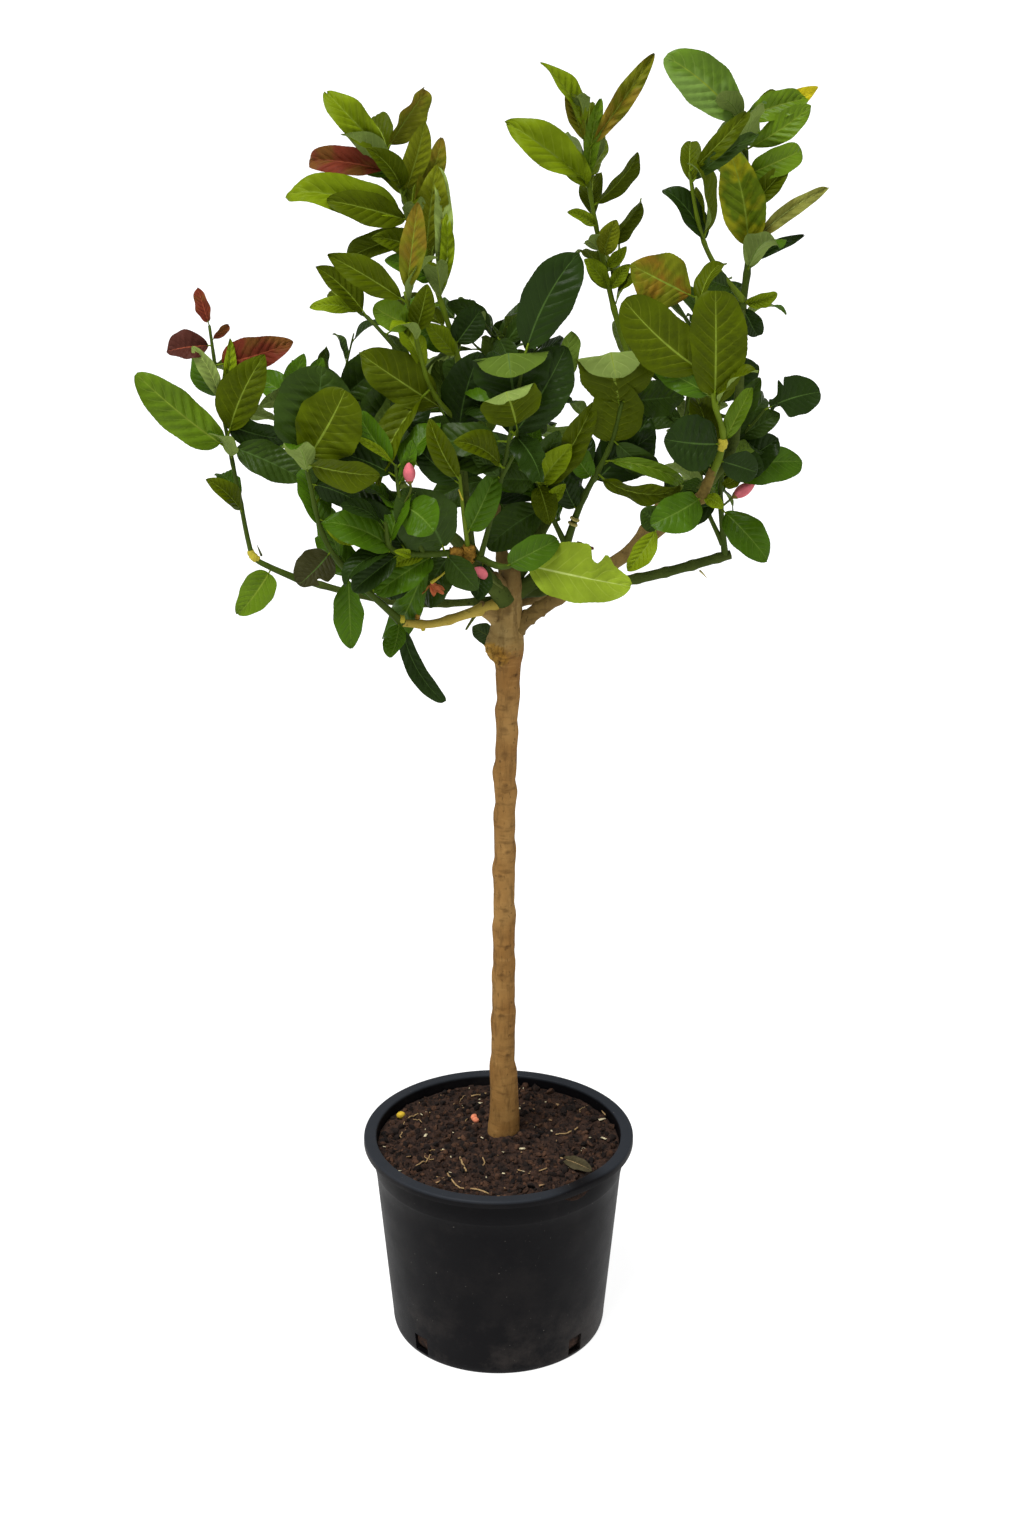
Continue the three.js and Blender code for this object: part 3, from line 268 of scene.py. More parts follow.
        (0, 0.01, -147, -18, 62, -40, 0.62, "mid", "plain"), (0, 0.01, -41, -16, 25, 60, 0.55, "light"),
        (1, 0.97, -164, -54, 49, -20, 0.45, "light", "plain"), (1, 0.51, -164, 34, 27, 30, 0.97, "dark"),
        (0, 0.53, 167, 25, 59, -70, 0.42, "mid"),
    ]),
    mass_row("leaves_right_low", 520, "dark mid", fine=1, deep=(6, 0.9, 5, "dark mid"), shoots=[
        shoot_row([(222, 61, 819), (215, 50, 875), (215, 40, 910),
                   (225, 30, 940)], (2.9, 1.8), 5, 0.25, 65, 30),
        shoot_row([(219, 58, 832), (200, 60, 875), (195, 70, 920)], (2.4, 1.6), 4, 0.3, 60, 255),
        shoot_row([(225, 30, 940), (238, 28, 952), (251, 26, 969)], (1.5, 1)),
    ], marked=[
        (2, 1, 0, 18, 54, 70, 0.73, "dark", "eaten"), (0, 0.75, -25, -7, 39, 70, 0.83, "dark", "flat"),
        (0, 0.61, 4, 8, 78, 60, 0.49, "mid", "plain"), (0, 0.93, 30, 70, 55, 10, 0.3, "dark"),
        (0, 0.29, -35, -39, 68, 40, 0.51, "mid", "wavy"), (0, 0.31, -155, -10, 78, -50, 0.52, "dark"),
        (0, 1, 3, 31, 48, 50, 0.51, "dark"), (0, 0.57, -9, 37, 66, 60, 0.57, "deep"),
    ], added=[
        (0, 0.75, -35, 65, 41, 40, 0.41, "dark"), (0, 0.48, -22, 32, 25, 70, 0.53, "olive"),
        (0, 1, -43, 67, 67, -40, 0.34, "dark", "folded"),
    ]),
    mass_row("leaves_back", 21, "dark", twigs=2, fine=18, shoots=[
        shoot_row([(-5, 99, 879), (-10, 140, 940), (0, 170, 1010)], (4.2, 1.6), 7, 0.15, 80, 255),
        shoot_row([(-7, 118, 905), (40, 175, 930), (70, 215, 960)], (2.8, 1.6), 6, 0.3, 75, 120),
    ], marked=[
        (0, 0.05, -170, -20, 65, -100, 0.55, "dark"), (0, 0.12, 180, 20, 65, -110, 0.6, "dark"),
        (0, 0.34, 180, 15, 65, -100, 0.5, "dark"), (0, 0.55, 180, 50, 65, -110, 0.6, "dark"),
        (0, 0.62, 0, -30, 65, 120, 0.6, "dark"), (0, 0.75, 0, 5, 60, 110, 0.55, "dark"),
        (0, 0.94, -25, 50, 45, 150, 0.7, "dark"), (0, 0.02, -15, -55, 65, 140, 0.6, "dark"),
    ]),
    mass_row("leaves_back_left", 22, "dark mid", twigs=2, fine=16, shoots=[
        shoot_row([(-94, 110, 879), (-125, 130, 920), (-165, 150, 965)], (3.8, 1.6), 6, 0.15, 80, 195),
        shoot_row([(-105, 117, 893), (-90, 160, 930), (-100, 210, 960)], (2.6, 1.6), 6, 0.3, 75, 240),
    ], marked=[
        (0, 0.78, -165, -10, 75, -100, 0.5, "dark"), (0, 0.96, 165, 25, 45, -80, 0.7, "dark"),
        (0, 0.9, 0, 40, 75, 110, 0.7, "dark"), (0, 0.55, -45, 55, 75, 130, 0.6, "dark"),
        (0, 0.34, -150, -25, 50, -80, 0.6, "dark"), (1, 0.28, 40, 55, 55, 180, 0.6, "dark"),
    ]),
    mass_row("leaves_back_right", 1123, "dark mid", twigs=2, fine=8, shoots=[
        shoot_row([(174, 139, 869), (190, 160, 950), (195, 175, 1040)], (3.8, 1.6), 8, 0.15, 75, 255),
    ], marked=[
        (0, 0.2, 0, -10, 75, 100, 0.6, "dark"), (0, 0.41, 180, 0, 50, -80, 0.55, "dark"),
        (0, 0.54, 0, 25, 75, 100, 0.55, "dark"),
    ]),
]

# The rule's sizes, the same as the source's
LEAF = dict(stations=(0, 0.1, 0.4, 0.78, 1), outline=(0, 0, 1, 0.82, 0), fold=5, droop=0.02, rule_droop=0.1,
            width=0.45, petiole=0.1)
RULE = dict(spiral=135, spread_foot=68, spread_tip=38, sag=0.12, turn_range=50, length_range=0.4,
            length_foot=1.1, length_tip=0.75, tries=(0, 45, -45, 90), space_margin=30, twig_end=0.9,
            twig_spread=55, twig_length=75, twig_lift=0.2, twig_radii=(2.2, 1.4), twig_leaves=4,
            twig_leaf_from=0.35, twig_leaf_length=0.9)
CLEARANCE = dict(limb=4, other_leaf=8.5, own_leaf=4, marked=6.5, free_root=0.25)
SAMPLE_STATIONS = np.linspace(0.12, 1, 8)
FREE_STATIONS = SAMPLE_STATIONS[SAMPLE_STATIONS >= CLEARANCE["free_root"]]
SAMPLE_SHARES = np.array([-1, -0.5, 0, 0.5, 1])
LIMB_SAMPLES = 8

# Finer twigs that only the looks carry: where along a shoot they start, how long they are, how far they
# spread, their radii, and the leaves they bear
FINE = dict(seed=1000, stations=(0.1, 0.95), length=46, length_range=(0.7, 1.3), spread=62, radii=(1.3, 0.8),
            leaves=3, leaf_length=54, start=0.2)

# How many beads at a twig's foot may touch what is there, and how many of a finer one may touch a limb
FREE_BEADS = 4
FREE_BEADS_FINE = 6

# Leaves deep in a mass, which the leaves before them hide from the front: the tries for them, what is
# drawn for each, how far before it a leaf must be to hide it, how much of it must be within the crown's
# outline, how its face is held, and the fine spread of points and the cells of the view for the test
DEEP = dict(tries=1500, seed=700, station=(0.12, 0.95), heading=(-40, 220), rise=(-15, 60), length=(48, 82),
            width=(0.4, 0.52), before=3, in_crown=0.95, lift=0.6, outwards=0.75)
DEEP_STATIONS = np.linspace(0.1, 1, 30)
DEEP_SHARES = np.linspace(-1, 1, 9)
CROWN_MIDDLE = np.array([20.0, 40.0, 0.0])
VIEW_CELL = 0.0018
VIEW_CELLS = 400


# Small helpers

def unit(vector):
    return vector / np.linalg.norm(vector)


def mix(a, b, share):
    return a + (b - a) * share


def bell(reach):
    return math.exp(-reach ** 2)


def ring_angles(count):
    return 2 * np.pi * np.arange(count) / count


def off_heading(heading, other):
    """How far a heading is from another one, from -180 to 180 degrees."""
    return (heading - other + 180) % 360 - 180


def seeded(seed):
    """A draw of numbers from 0 to 1, the same ones each time and in the source."""
    state = seed

    def draw():
        nonlocal state
        state = (state * DRAW["factor"] + DRAW["step"]) % DRAW["size"]
        return state / DRAW["size"]

    return draw


def turned(vector, axis, angle):
    """The vector, square to the axis, turned about it by an angle in degrees."""
    turn = math.radians(angle)
    return vector * math.cos(turn) + np.cross(axis, vector) * math.sin(turn)


class Curve:
    """A smooth curve through a path's points, with an even share of it for each stretch."""

    def __init__(self, path):
        self.points = np.array(path, float)

    def at(self, station):
        points = self.points
        last = len(points) - 1
        place = min(max(station, 0.0), 1.0) * last
        k = min(int(place), last - 1)
        t = place - k
        a, b = points[k], points[k + 1]
        before = points[k - 1] if k > 0 else 2 * a - b
        after = points[k + 2] if k + 2 <= last else 2 * b - a
        leave, arrive = (b - before) / 2, (after - a) / 2
        return (a + leave * t + (3 * b - 3 * a - 2 * leave - arrive) * t ** 2
                + (2 * a - 2 * b + leave + arrive) * t ** 3)

    def tangent(self, station):
        return unit(self.at(min(station + 1e-4, 1)) - self.at(max(station - 1e-4, 0)))

    def length(self):
        places = np.array([self.at(s) for s in np.linspace(0, 1, 24)])
        return float(np.linalg.norm(np.diff(places, axis=0), axis=1).sum())


def cross_frame(tangent):
    across = unit(np.cross(tangent, REFERENCE))
    return across, unit(np.cross(tangent, across))


def compass(heading, rise):
    level = math.cos(math.radians(rise))
    return np.array([level * math.cos(math.radians(heading)), level * math.sin(math.radians(heading)),
                     math.sin(math.radians(rise))])


# The source's rule for leaves and twigs

def leaf_frame(leaf):
    chord, tangent = leaf["chord"], leaf["tangent"]
    up = turned(unit(tangent - chord * tangent.dot(chord)), chord, leaf["turn"])
    return chord, up, np.cross(chord, up), UP - chord * chord[2]


def leaf_samples(leaf, stations=FREE_STATIONS, shares=SAMPLE_SHARES):
    """Points spread over a leaf, past its free root where no stations are given."""
    chord, up, side, droop = leaf_frame(leaf)
    half = np.interp(stations, LEAF["stations"], LEAF["outline"]) * leaf["width"] * leaf["length"] / 2
    s = np.repeat(stations, len(shares))
    across = (half[:, None] * shares[None, :]).ravel()
    fold = math.radians(LEAF["fold"])
    rise = leaf["length"] * leaf["droop"] * 4 * s * (1 - s)
    return (leaf["root"] + np.outer(leaf["length"] * s, chord) + np.outer(rise, droop)
            + np.outer(across * math.cos(fold), side) + np.outer(abs(across) * math.sin(fold), up))


def limb_beads(path, radii):
    curve = Curve(path)
    stations = np.linspace(0, 1, (len(path) - 1) * LIMB_SAMPLES + 1)
    return np.array([curve.at(s) for s in stations]), mix(*radii, stations)


class Room:
    """What is already taken: beads along the limbs, and sampled points of the leaves."""

    def __init__(self):
        self.beads = []
        self.leaves = []

    def add_limb(self, path, radii, owner):
        places, sizes = limb_beads(path, radii)
        self.beads.append((places, sizes, owner))

    def add_leaf(self, samples, owner):
        self.leaves.append((samples, owner, samples.min(0), samples.max(0)))

    def hits_leaves(self, samples, owner, own_reach, other_reach):
        low, high = samples.min(0), samples.max(0)
        for places, other, other_low, other_high in self.leaves:
            reach = own_reach if other == owner else other_reach
            if reach <= 0 or (low - reach > other_high).any() or (high + reach < other_low).any():
                continue
            if (np.linalg.norm(samples[:, None] - places[None], axis=2) < reach).any():
                return True
        return False

    def hits_limbs(self, samples, owner, same_owner=True):
        for places, sizes, other in self.beads:
            if other == owner and not same_owner:
                continue
            reach = sizes + (0 if other == owner else CLEARANCE["limb"])
            if (np.linalg.norm(samples[:, None] - places[None], axis=2) < reach[None]).any():
                return True
        return False


def marked_leaf(mass, shoot, station, heading, rise, length, turn, width, tint, form=None):
    curve = Curve(mass["shoots"][shoot]["path"])
    return dict(root=curve.at(station), tangent=curve.tangent(station), chord=compass(heading, rise),
                length=length, turn=turn, width=width, droop=LEAF["droop"], tint=tint, form=form)


def branch_direction(tangent, around, spread):
    across, over = cross_frame(tangent)
    lean = math.radians(spread)
    return (tangent * math.cos(lean) + across * math.sin(lean) * math.cos(math.radians(around))
            + over * math.sin(lean) * math.sin(math.radians(around)))


def rule_leaf(shoot, curve, index, swing, turn, size):
    station = shoot["start"] + (1 - shoot["start"]) * (index + 0.5) / shoot["leaves"]
    tangent = curve.tangent(station)
    spread = mix(RULE["spread_foot"], RULE["spread_tip"], station)
    chord = branch_direction(tangent, shoot["phase"] + RULE["spiral"] * index + swing, spread)
    chord = unit(chord - UP * RULE["sag"])
    length = shoot["length"] * size * mix(RULE["length_foot"], RULE["length_tip"], station)
    return dict(root=curve.at(station), tangent=tangent, chord=chord, length=length, turn=turn,
                width=LEAF["width"], droop=LEAF["rule_droop"], form=None)


def side_twig(curve, station, around, spread, reach, radii, leaves, start, leaf_length):
    """A twig that leaves its shoot and bends upwards."""
    foot = curve.at(station)
    direction = branch_direction(curve.tangent(station), around, spread)
    tip = foot + direction * reach + UP * reach * RULE["twig_lift"]
    return shoot_row([foot, foot + direction * reach / 2, tip], radii, leaves, start, leaf_length, around)


def rule_twig(mass, index, size):
    stem = mass["shoots"][0]
    station = stem["start"] + (RULE["twig_end"] - stem["start"]) * (index + 0.5) / mass["twigs"]
    around = stem["phase"] + RULE["spiral"] * (index + 0.5)
    return side_twig(Curve(stem["path"]), station, around, RULE["twig_spread"], RULE["twig_length"] * size,
                     RULE["twig_radii"], RULE["twig_leaves"], RULE["twig_leaf_from"],
                     stem["length"] * RULE["twig_leaf_length"])


def fine_twig(carrier, draw):
    """A finer twig than the source's, at a place drawn along its shoot."""
    station = mix(*FINE["stations"], draw())
    reach = FINE["length"] * mix(*FINE["length_range"], draw())
    return side_twig(Curve(carrier["path"]), station, 360 * draw(), FINE["spread"], reach, FINE["radii"],
                     FINE["leaves"], FINE["start"], FINE["leaf_length"])


def space_of(mass):
    places = [np.array(place, float) for shoot in mass["shoots"] for place in shoot["path"]]
    for row in mass["marked"]:
        leaf = marked_leaf(mass, *row)
        places.append(leaf["root"] + leaf["chord"] * leaf["length"])
    return np.min(places, axis=0) - RULE["space_margin"], np.max(places, axis=0) + RULE["space_margin"]


def inside(samples, space):
    return bool((samples >= space[0]).all() and (samples <= space[1]).all())


def set_leaves(entry, shoot, draw, room, space):
    """The rule's leaves along one shoot, each where it fits, all of the shoot's own tint."""
    name = entry["mass"]["name"]
    curve = Curve(shoot["path"])
    for index in range(shoot["leaves"]):
        size = 1 + RULE["length_range"] * (draw() - 0.5)
        turn = RULE["turn_range"] * (draw() - 0.5)
        if index in shoot["skip"]:
            continue
        for swing in RULE["tries"]:
            leaf = rule_leaf(shoot, curve, index, swing, turn, size)
            samples = leaf_samples(leaf)
            if not inside(samples, space) or room.hits_limbs(samples, name):
                continue
            if room.hits_leaves(samples, name, CLEARANCE["own_leaf"], CLEARANCE["other_leaf"]):
                continue
            room.add_leaf(samples, name)
            leaf["tint"] = shoot["tint"]
            entry["leaves"].append(leaf)
            break


# Leaves deep in the masses

class FrontView:
    """The crown from the front: how far off the nearest leaf is in each small cell of the view."""

    def __init__(self):
        self.nearest = np.full((VIEW_CELLS, VIEW_CELLS), np.inf)

    def cells(self, places):
        pitch = math.radians(CAMERA["pitch_down"])
        offset = places - 1000 * np.array(CAMERA["location"])
        distance = offset @ np.array([0, math.cos(pitch), -math.sin(pitch)])
        height = offset @ np.array([0, math.sin(pitch), math.cos(pitch)])
        column = (offset[:, 0] / distance / VIEW_CELL + VIEW_CELLS / 2).astype(int)
        line = (height / distance / VIEW_CELL + VIEW_CELLS / 2).astype(int)
        return (line, column), distance

    def add_leaf(self, leaf):
        cells, distance = self.cells(leaf_samples(leaf, DEEP_STATIONS, DEEP_SHARES))
        np.minimum.at(self.nearest, cells, distance)

    def hides(self, leaf, share):
        cells, distance = self.cells(leaf_samples(leaf, DEEP_STATIONS, DEEP_SHARES))
        nearest = self.nearest[cells]
        hidden = (nearest < distance - DEEP["before"]).mean()
        return hidden >= share and np.isfinite(nearest).mean() >= DEEP["in_crown"]


def open_turn(leaf):
    """The turn that holds a leaf's face up and away from the crown's middle."""
    chord, tangent = leaf["chord"], leaf["tangent"]
    away = leaf["root"] + chord * leaf["length"] / 2 - CROWN_MIDDLE
    away[2] = 0
    wanted = unit(away) * DEEP["outwards"] + UP * DEEP["lift"]
    over = unit(tangent - chord * tangent.dot(chord))
    return math.degrees(math.atan2(wanted.dot(np.cross(chord, over)), wanted.dot(over)))


def set_deep_leaves(entry, room, view):
    """Leaves that fill a mass's depth, drawn at random and kept where hidden from the front and free."""
    mass = entry["mass"]
    count, share, reach, palette = mass["deep"]
    tints = palette.split()
    draw = seeded(mass["seed"] + DEEP["seed"])
    made = 0
    for _ in range(DEEP["tries"]):
        shoot = int(draw() * len(mass["shoots"]))
        station, heading, rise, length, width = (
            mix(*DEEP[key], draw()) for key in ("station", "heading", "rise", "length", "width"))
        leaf = marked_leaf(mass, shoot, station, heading, rise, length, 0, width, tints[made % len(tints)])
        leaf["turn"] = open_turn(leaf)
        samples = leaf_samples(leaf)
        if not view.hides(leaf, share) or room.hits_limbs(samples, mass["name"]):
            continue
        if room.hits_leaves(samples, mass["name"], reach, reach):
            continue
        room.add_leaf(samples, mass["name"])
        entry["leaves"].append(leaf)
        made += 1
        if made == count:
            return


# The whole crown

def set_marked_leaves(entry, room):
    """The leaves that the photograph shows: a marked one gives way to another mass's, an added one stays."""
    mass = entry["mass"]
    for rows, reach in ((mass["marked"], CLEARANCE["marked"]), (mass["added"], 0)):
        for row in rows:
            leaf = marked_leaf(mass, *row)
            samples = leaf_samples(leaf)
            if not room.hits_leaves(samples, mass["name"], 0, reach):
                room.add_leaf(samples, mass["name"])
                entry["leaves"].append(leaf)


def set_rule_twigs(entry, room):
    """The rule's twigs along the stem, and then the rule's leaves along every shoot."""
    mass = entry["mass"]
    name, palette = mass["name"], mass["palette"]
    space = space_of(mass)
    draw = seeded(mass["seed"])
    for index in range(mass["twigs"]):
        twig = rule_twig(mass, index, 1 + RULE["length_range"] * (draw() - 0.5))
        places, _ = limb_beads(twig["path"], twig["radii"])
        free = places[FREE_BEADS:]
        if not inside(places, space) or room.hits_limbs(free, name, same_owner=False):
            continue
        if not room.hits_leaves(free, name, CLEARANCE["own_leaf"], CLEARANCE["other_leaf"]):
            entry["shoots"].append(twig)
            room.add_limb(twig["path"], twig["radii"], name)
    for k, shoot in enumerate(entry["shoots"]):
        shoot["tint"] = palette[k % len(palette)]
        set_leaves(entry, shoot, draw, room, space)


def set_fine_twigs(entry, room):
    """Finer twigs with small leaves, dealt out over the shoots."""
    mass = entry["mass"]
    name, palette = mass["name"], mass["palette"]
    space = space_of(mass)
    draw = seeded(mass["seed"] + FINE["seed"])
    carriers = list(entry["shoots"])
    for index in range(mass["fine"]):
        twig = fine_twig(carriers[index % len(carriers)], draw)
        places, _ = limb_beads(twig["path"], twig["radii"])
        if not inside(places, space) or room.hits_limbs(places[FREE_BEADS_FINE:], name):
            continue
        if room.hits_leaves(places[FREE_BEADS:], name, CLEARANCE["own_leaf"], CLEARANCE["own_leaf"]):
            continue
        twig["tint"] = palette[index % len(palette)]
        entry["shoots"].append(twig)
        room.add_limb(twig["path"], twig["radii"], name)
        set_leaves(entry, twig, draw, room, space)


def grow_crown():
    """Every shoot and leaf: marked leaves first, then the rule's, the finer twigs and the deep leaves."""
    room = Room()
    for row in BOUGHS:
        room.add_limb(row["path"], row["radii"], row["name"])
    grown = []
    for mass in MASSES:
        for shoot in mass["shoots"]:
            room.add_limb(shoot["path"], shoot["radii"], mass["name"])
        grown.append(dict(mass=mass, shoots=[dict(shoot) for shoot in mass["shoots"]], leaves=[]))
    for add_to in (set_marked_leaves, set_rule_twigs, set_fine_twigs):
        for entry in grown:
            add_to(entry, room)
    view = FrontView()
    for entry in grown:
        for leaf in entry["leaves"]:
            view.add_leaf(leaf)
    for entry in grown:
        if entry["mass"]["deep"]:
            set_deep_leaves(entry, room, view)
    return grown


# Meshes from arrays

def link_new(name, data):
    made = bpy.data.objects.new(name, data)
    bpy.context.scene.collection.objects.link(made)
    return made


class Batch:
    """Vertices and faces gathered for one joined piece, with a material for each face."""

    def __init__(self):
        self.vertices, self.faces, self.slots, self.leaf_uv, self.border = [], [], [], [], []
        self.count = 0

    def add(self, vertices, faces, slots, uv=None, border=None):
        """faces: arrays of 3 or 4 columns; slots: one material number for each face."""
        vertices = np.asarray(vertices, float)
        self.vertices.append(vertices)
        for rows, numbers in zip(faces, slots):
            self.faces.append(np.asarray(rows) + self.count)
            self.slots.append(np.broadcast_to(np.asarray(numbers), (len(rows),)))
        self.leaf_uv.append(np.zeros((len(vertices), 2)) if uv is None else uv)
        self.border.append(np.zeros(len(vertices), bool) if border is None else border)
        self.count += len(vertices)

    def build(self, name, materials, sharp_angle=None):
        vertices = np.concatenate(self.vertices) * MM
        sizes = np.concatenate([np.full(len(rows), rows.shape[1]) for rows in self.faces])
        loops = np.concatenate([rows.ravel() for rows in self.faces])
        mesh = bpy.data.meshes.new(name)
        mesh.vertices.add(len(vertices))
        mesh.vertices.foreach_set("co", vertices.astype(np.float32).ravel())
        mesh.loops.add(len(loops))
        mesh.loops.foreach_set("vertex_index", loops.astype(np.int32))
        mesh.polygons.add(len(sizes))
        mesh.polygons.foreach_set("loop_start", (np.cumsum(sizes) - sizes).astype(np.int32))
        mesh.polygons.foreach_set("material_index", np.concatenate(self.slots).astype(np.int32))
        mesh.update(calc_edges=True)
        mesh.polygons.foreach_set("use_smooth", np.ones(len(sizes), bool))
        uv = np.concatenate(self.leaf_uv)
        mesh.uv_layers.new(name="leaf").data.foreach_set("uv", uv[loops].astype(np.float32).ravel())
        if sharp_angle is not None:
            mesh.set_sharp_from_angle(angle=math.radians(sharp_angle))
        border = np.concatenate(self.border)
        if border.any():
            ends = np.zeros(len(mesh.edges) * 2, np.int32)
            mesh.edges.foreach_get("vertices", ends)
            sharp = border[ends.reshape(-1, 2)].all(axis=1)
            attribute = mesh.attributes.get("sharp_edge")
            attribute = attribute or mesh.attributes.new("sharp_edge", "BOOLEAN", "EDGE")
            attribute.data.foreach_set("value", sharp)
        for item in materials:
            mesh.materials.append(item)
        mesh.validate()
        return link_new(name, mesh)


def finish_piece(piece, nodes=()):
    if nodes:
        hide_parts(*nodes)
    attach(piece, "root")


def closed_rows(rows, ends):
    """Vertices and faces of a solid made of rings, with its first and last ring closed to a point."""
    segments = len(rows[0])
    grid = np.arange(len(rows) * segments).reshape(len(rows), segments)
    after = np.roll(grid, -1, axis=1)
    quads = np.stack([grid[:-1], after[:-1], after[1:], grid[1:]], axis=-1).reshape(-1, 4)
    low, high = grid.size, grid.size + 1
    caps = np.concatenate([np.stack([np.full(segments, low), after[0], grid[0]], -1),
                           np.stack([np.full(segments, high), grid[-1], after[-1]], -1)])
    return np.concatenate([np.array(rows, float).reshape(-1, 3), ends]), [quads, caps]


# A direction that no tube starts along, from which its first ring is turned
OFF_AXIS = (0.31, 0.95, 0.05)


def tube(batch, places, radii, sides, slot):
    """A tube along a line of places. radii: one for each place, or one row of sides for each."""
    places, radii = np.asarray(places, float), np.asarray(radii, float)
    if radii.ndim == 1:
        radii = np.repeat(radii[:, None], sides, axis=1)
    tangents = np.gradient(places, axis=0)
    tangents /= np.linalg.norm(tangents, axis=1)[:, None]
    across = unit(np.cross(tangents[0], OFF_AXIS))
    angles = ring_angles(sides)
    rings = []
    for place, tangent, radius in zip(places, tangents, radii):
        across = unit(across - tangent * across.dot(tangent))
        over = np.cross(tangent, across)
        circle = np.outer(np.cos(angles), across) + np.outer(np.sin(angles), over)
        rings.append(place + radius[:, None] * circle)
    vertices, faces = closed_rows(rings, [places[0], places[-1]])
    batch.add(vertices, faces, [slot, slot])


# Leaves

LEAF_ACROSS = np.array([-1, -0.88, -0.7, -0.48, -0.25, -0.05, 0.05, 0.25, 0.48, 0.7, 0.88, 1])
LEAF_ROWS = 37
MIDRIB_STEPS = 81
RIB_SHARE = 0.1
VEINS = 8
VEIN_SLANT = 0.26
# The blade's finer shape: teeth and raggedness as shares of its width, the rib's depth as a share of its
# length, where along it a twist turns, how thick rib and blade are, and the stalk's thickness by length
BLADE = dict(tooth=0.012, ragged=(0.035, 0.02), rib_depth=0.004, twist_middle=0.3, rib_thick=0.9,
             rib_taper=0.5, thick=0.35, stalk=(0.35, 0.009), stalk_shape=(1.25, 1.0, 0.95, 0.7),
             stalk_end=0.03, stalk_sides=6)
# Where a blade turns over: how far before its station that starts, over what share, and what that takes up
TURNOVER = dict(before=0.05, over=0.13, taken=0.02)

# How a leaf may be bent, in degrees: fold of each half, bend of the midrib over the whole blade, dip of the
# tip, twist along it, and turned, the share of the blade at which it turns over and how far. blunt, widest,
# wave, pleat and sweep shape its outline and its relief. A notch is a bite: side, share of the blade, spread
# and depth.
FORMS = dict(
    plain=dict(fold=(10, 30), bend=(5, 45), dip=(0, 40)),
    young=dict(fold=(22, 48), bend=(5, 60), dip=(5, 55)),
    flat=dict(fold=(3, 8), bend=(0, 12), dip=(0, 10), twist=(-6, 6)),
    folded=dict(fold=(34, 46), bend=(5, 30), dip=(0, 30)),
    quilted=dict(fold=(8, 14), bend=(14, 28), dip=(0, 14), twist=(-8, 8), pleat=0.017),
    arched=dict(fold=(14, 24), bend=(80, 95), dip=(20, 35)),
    cupped=dict(fold=(22, 30), bend=(-35, -20), dip=(0, 0)),
    strap=dict(fold=(24, 30), bend=(0, 10), dip=(0, 0), twist=(6, 14), blunt=0.3, sweep=0.1),
    tapered=dict(fold=(14, 20), bend=(25, 40), dip=(0, 10), twist=(-6, 6), widest=0.66),
    broad=dict(fold=(6, 12), bend=(8, 16), dip=(0, 12), twist=(-5, 5), pleat=0.013, blunt=0.44),
    oblong=dict(fold=(8, 14), bend=(14, 26), dip=(0, 10), twist=(-5, 5), pleat=0.017, blunt=0.27,
                widest=1.04, wave=0.03),
    wavy=dict(fold=(10, 16), bend=(40, 52), dip=(10, 20), twist=(-10, 10), wave=0.05),
    pleated=dict(fold=(22, 32), bend=(5, 24), dip=(0, 20), twist=(-12, 12), pleat=0.017),
    hooked=dict(fold=(3, 7), bend=(0, 8), dip=(0, 0), twist=(-8, 8),
                turned=(0.7, 104), blunt=0.42, wave=0.045),
    draped=dict(fold=(3, 7), bend=(0, 8), dip=(0, 0), twist=(-8, 8),
                turned=(0.66, 138), blunt=0.42, wave=0.05),
    notched=dict(fold=(6, 8), bend=(10, 14), dip=(0, 8), twist=(-3, 3),
                 notch=((-1, 0.62, 0.06, 0.45), (-1, 0.86, 0.1, 0.25))),
    eaten=dict(fold=(5, 8), bend=(5, 12), dip=(0, 6), twist=(-6, 6), blunt=0.42,
               notch=((1, 0.14, 0.11, 0.8), (-1, 0.14, 0.11, 0.6), (-1, 0.36, 0.03, 0.35))),
)


def leaf_template(rows, across):
    """Triangles of a closed leaf: an upper and an under grid with the same border and diagonals."""
    columns = len(across)
    upper = np.arange(rows * columns).reshape(rows, columns)
    under = upper.copy()
    inner = (rows - 2) * (columns - 2)
    under[1:-1, 1:-1] = rows * columns + np.arange(inner).reshape(rows - 2, columns - 2)
    right = (across[:-1] + across[1:] > 0)[None, :, None]

    def triangles(grid):
        a, b, c, d = grid[:-1, :-1], grid[:-1, 1:], grid[1:, 1:], grid[1:, :-1]
        first = np.where(right, np.stack([a, b, c], -1), np.stack([a, b, d], -1))
        second = np.where(right, np.stack([a, c, d], -1), np.stack([b, c, d], -1))
        return np.stack([first, second], axis=2).reshape(-1, 3)

    strip = np.zeros((rows - 1, columns - 1, 2), bool)
    strip[:, (columns - 1) // 2] = True
    border = np.ones((rows, columns), bool)
    border[1:-1, 1:-1] = False
    return dict(upper=triangles(upper), under=triangles(under)[:, ::-1], rib=strip.ravel(),
                border=np.concatenate([border.ravel(), np.zeros(inner, bool)]))


LEAF_TEMPLATE = leaf_template(LEAF_ROWS, LEAF_ACROSS)


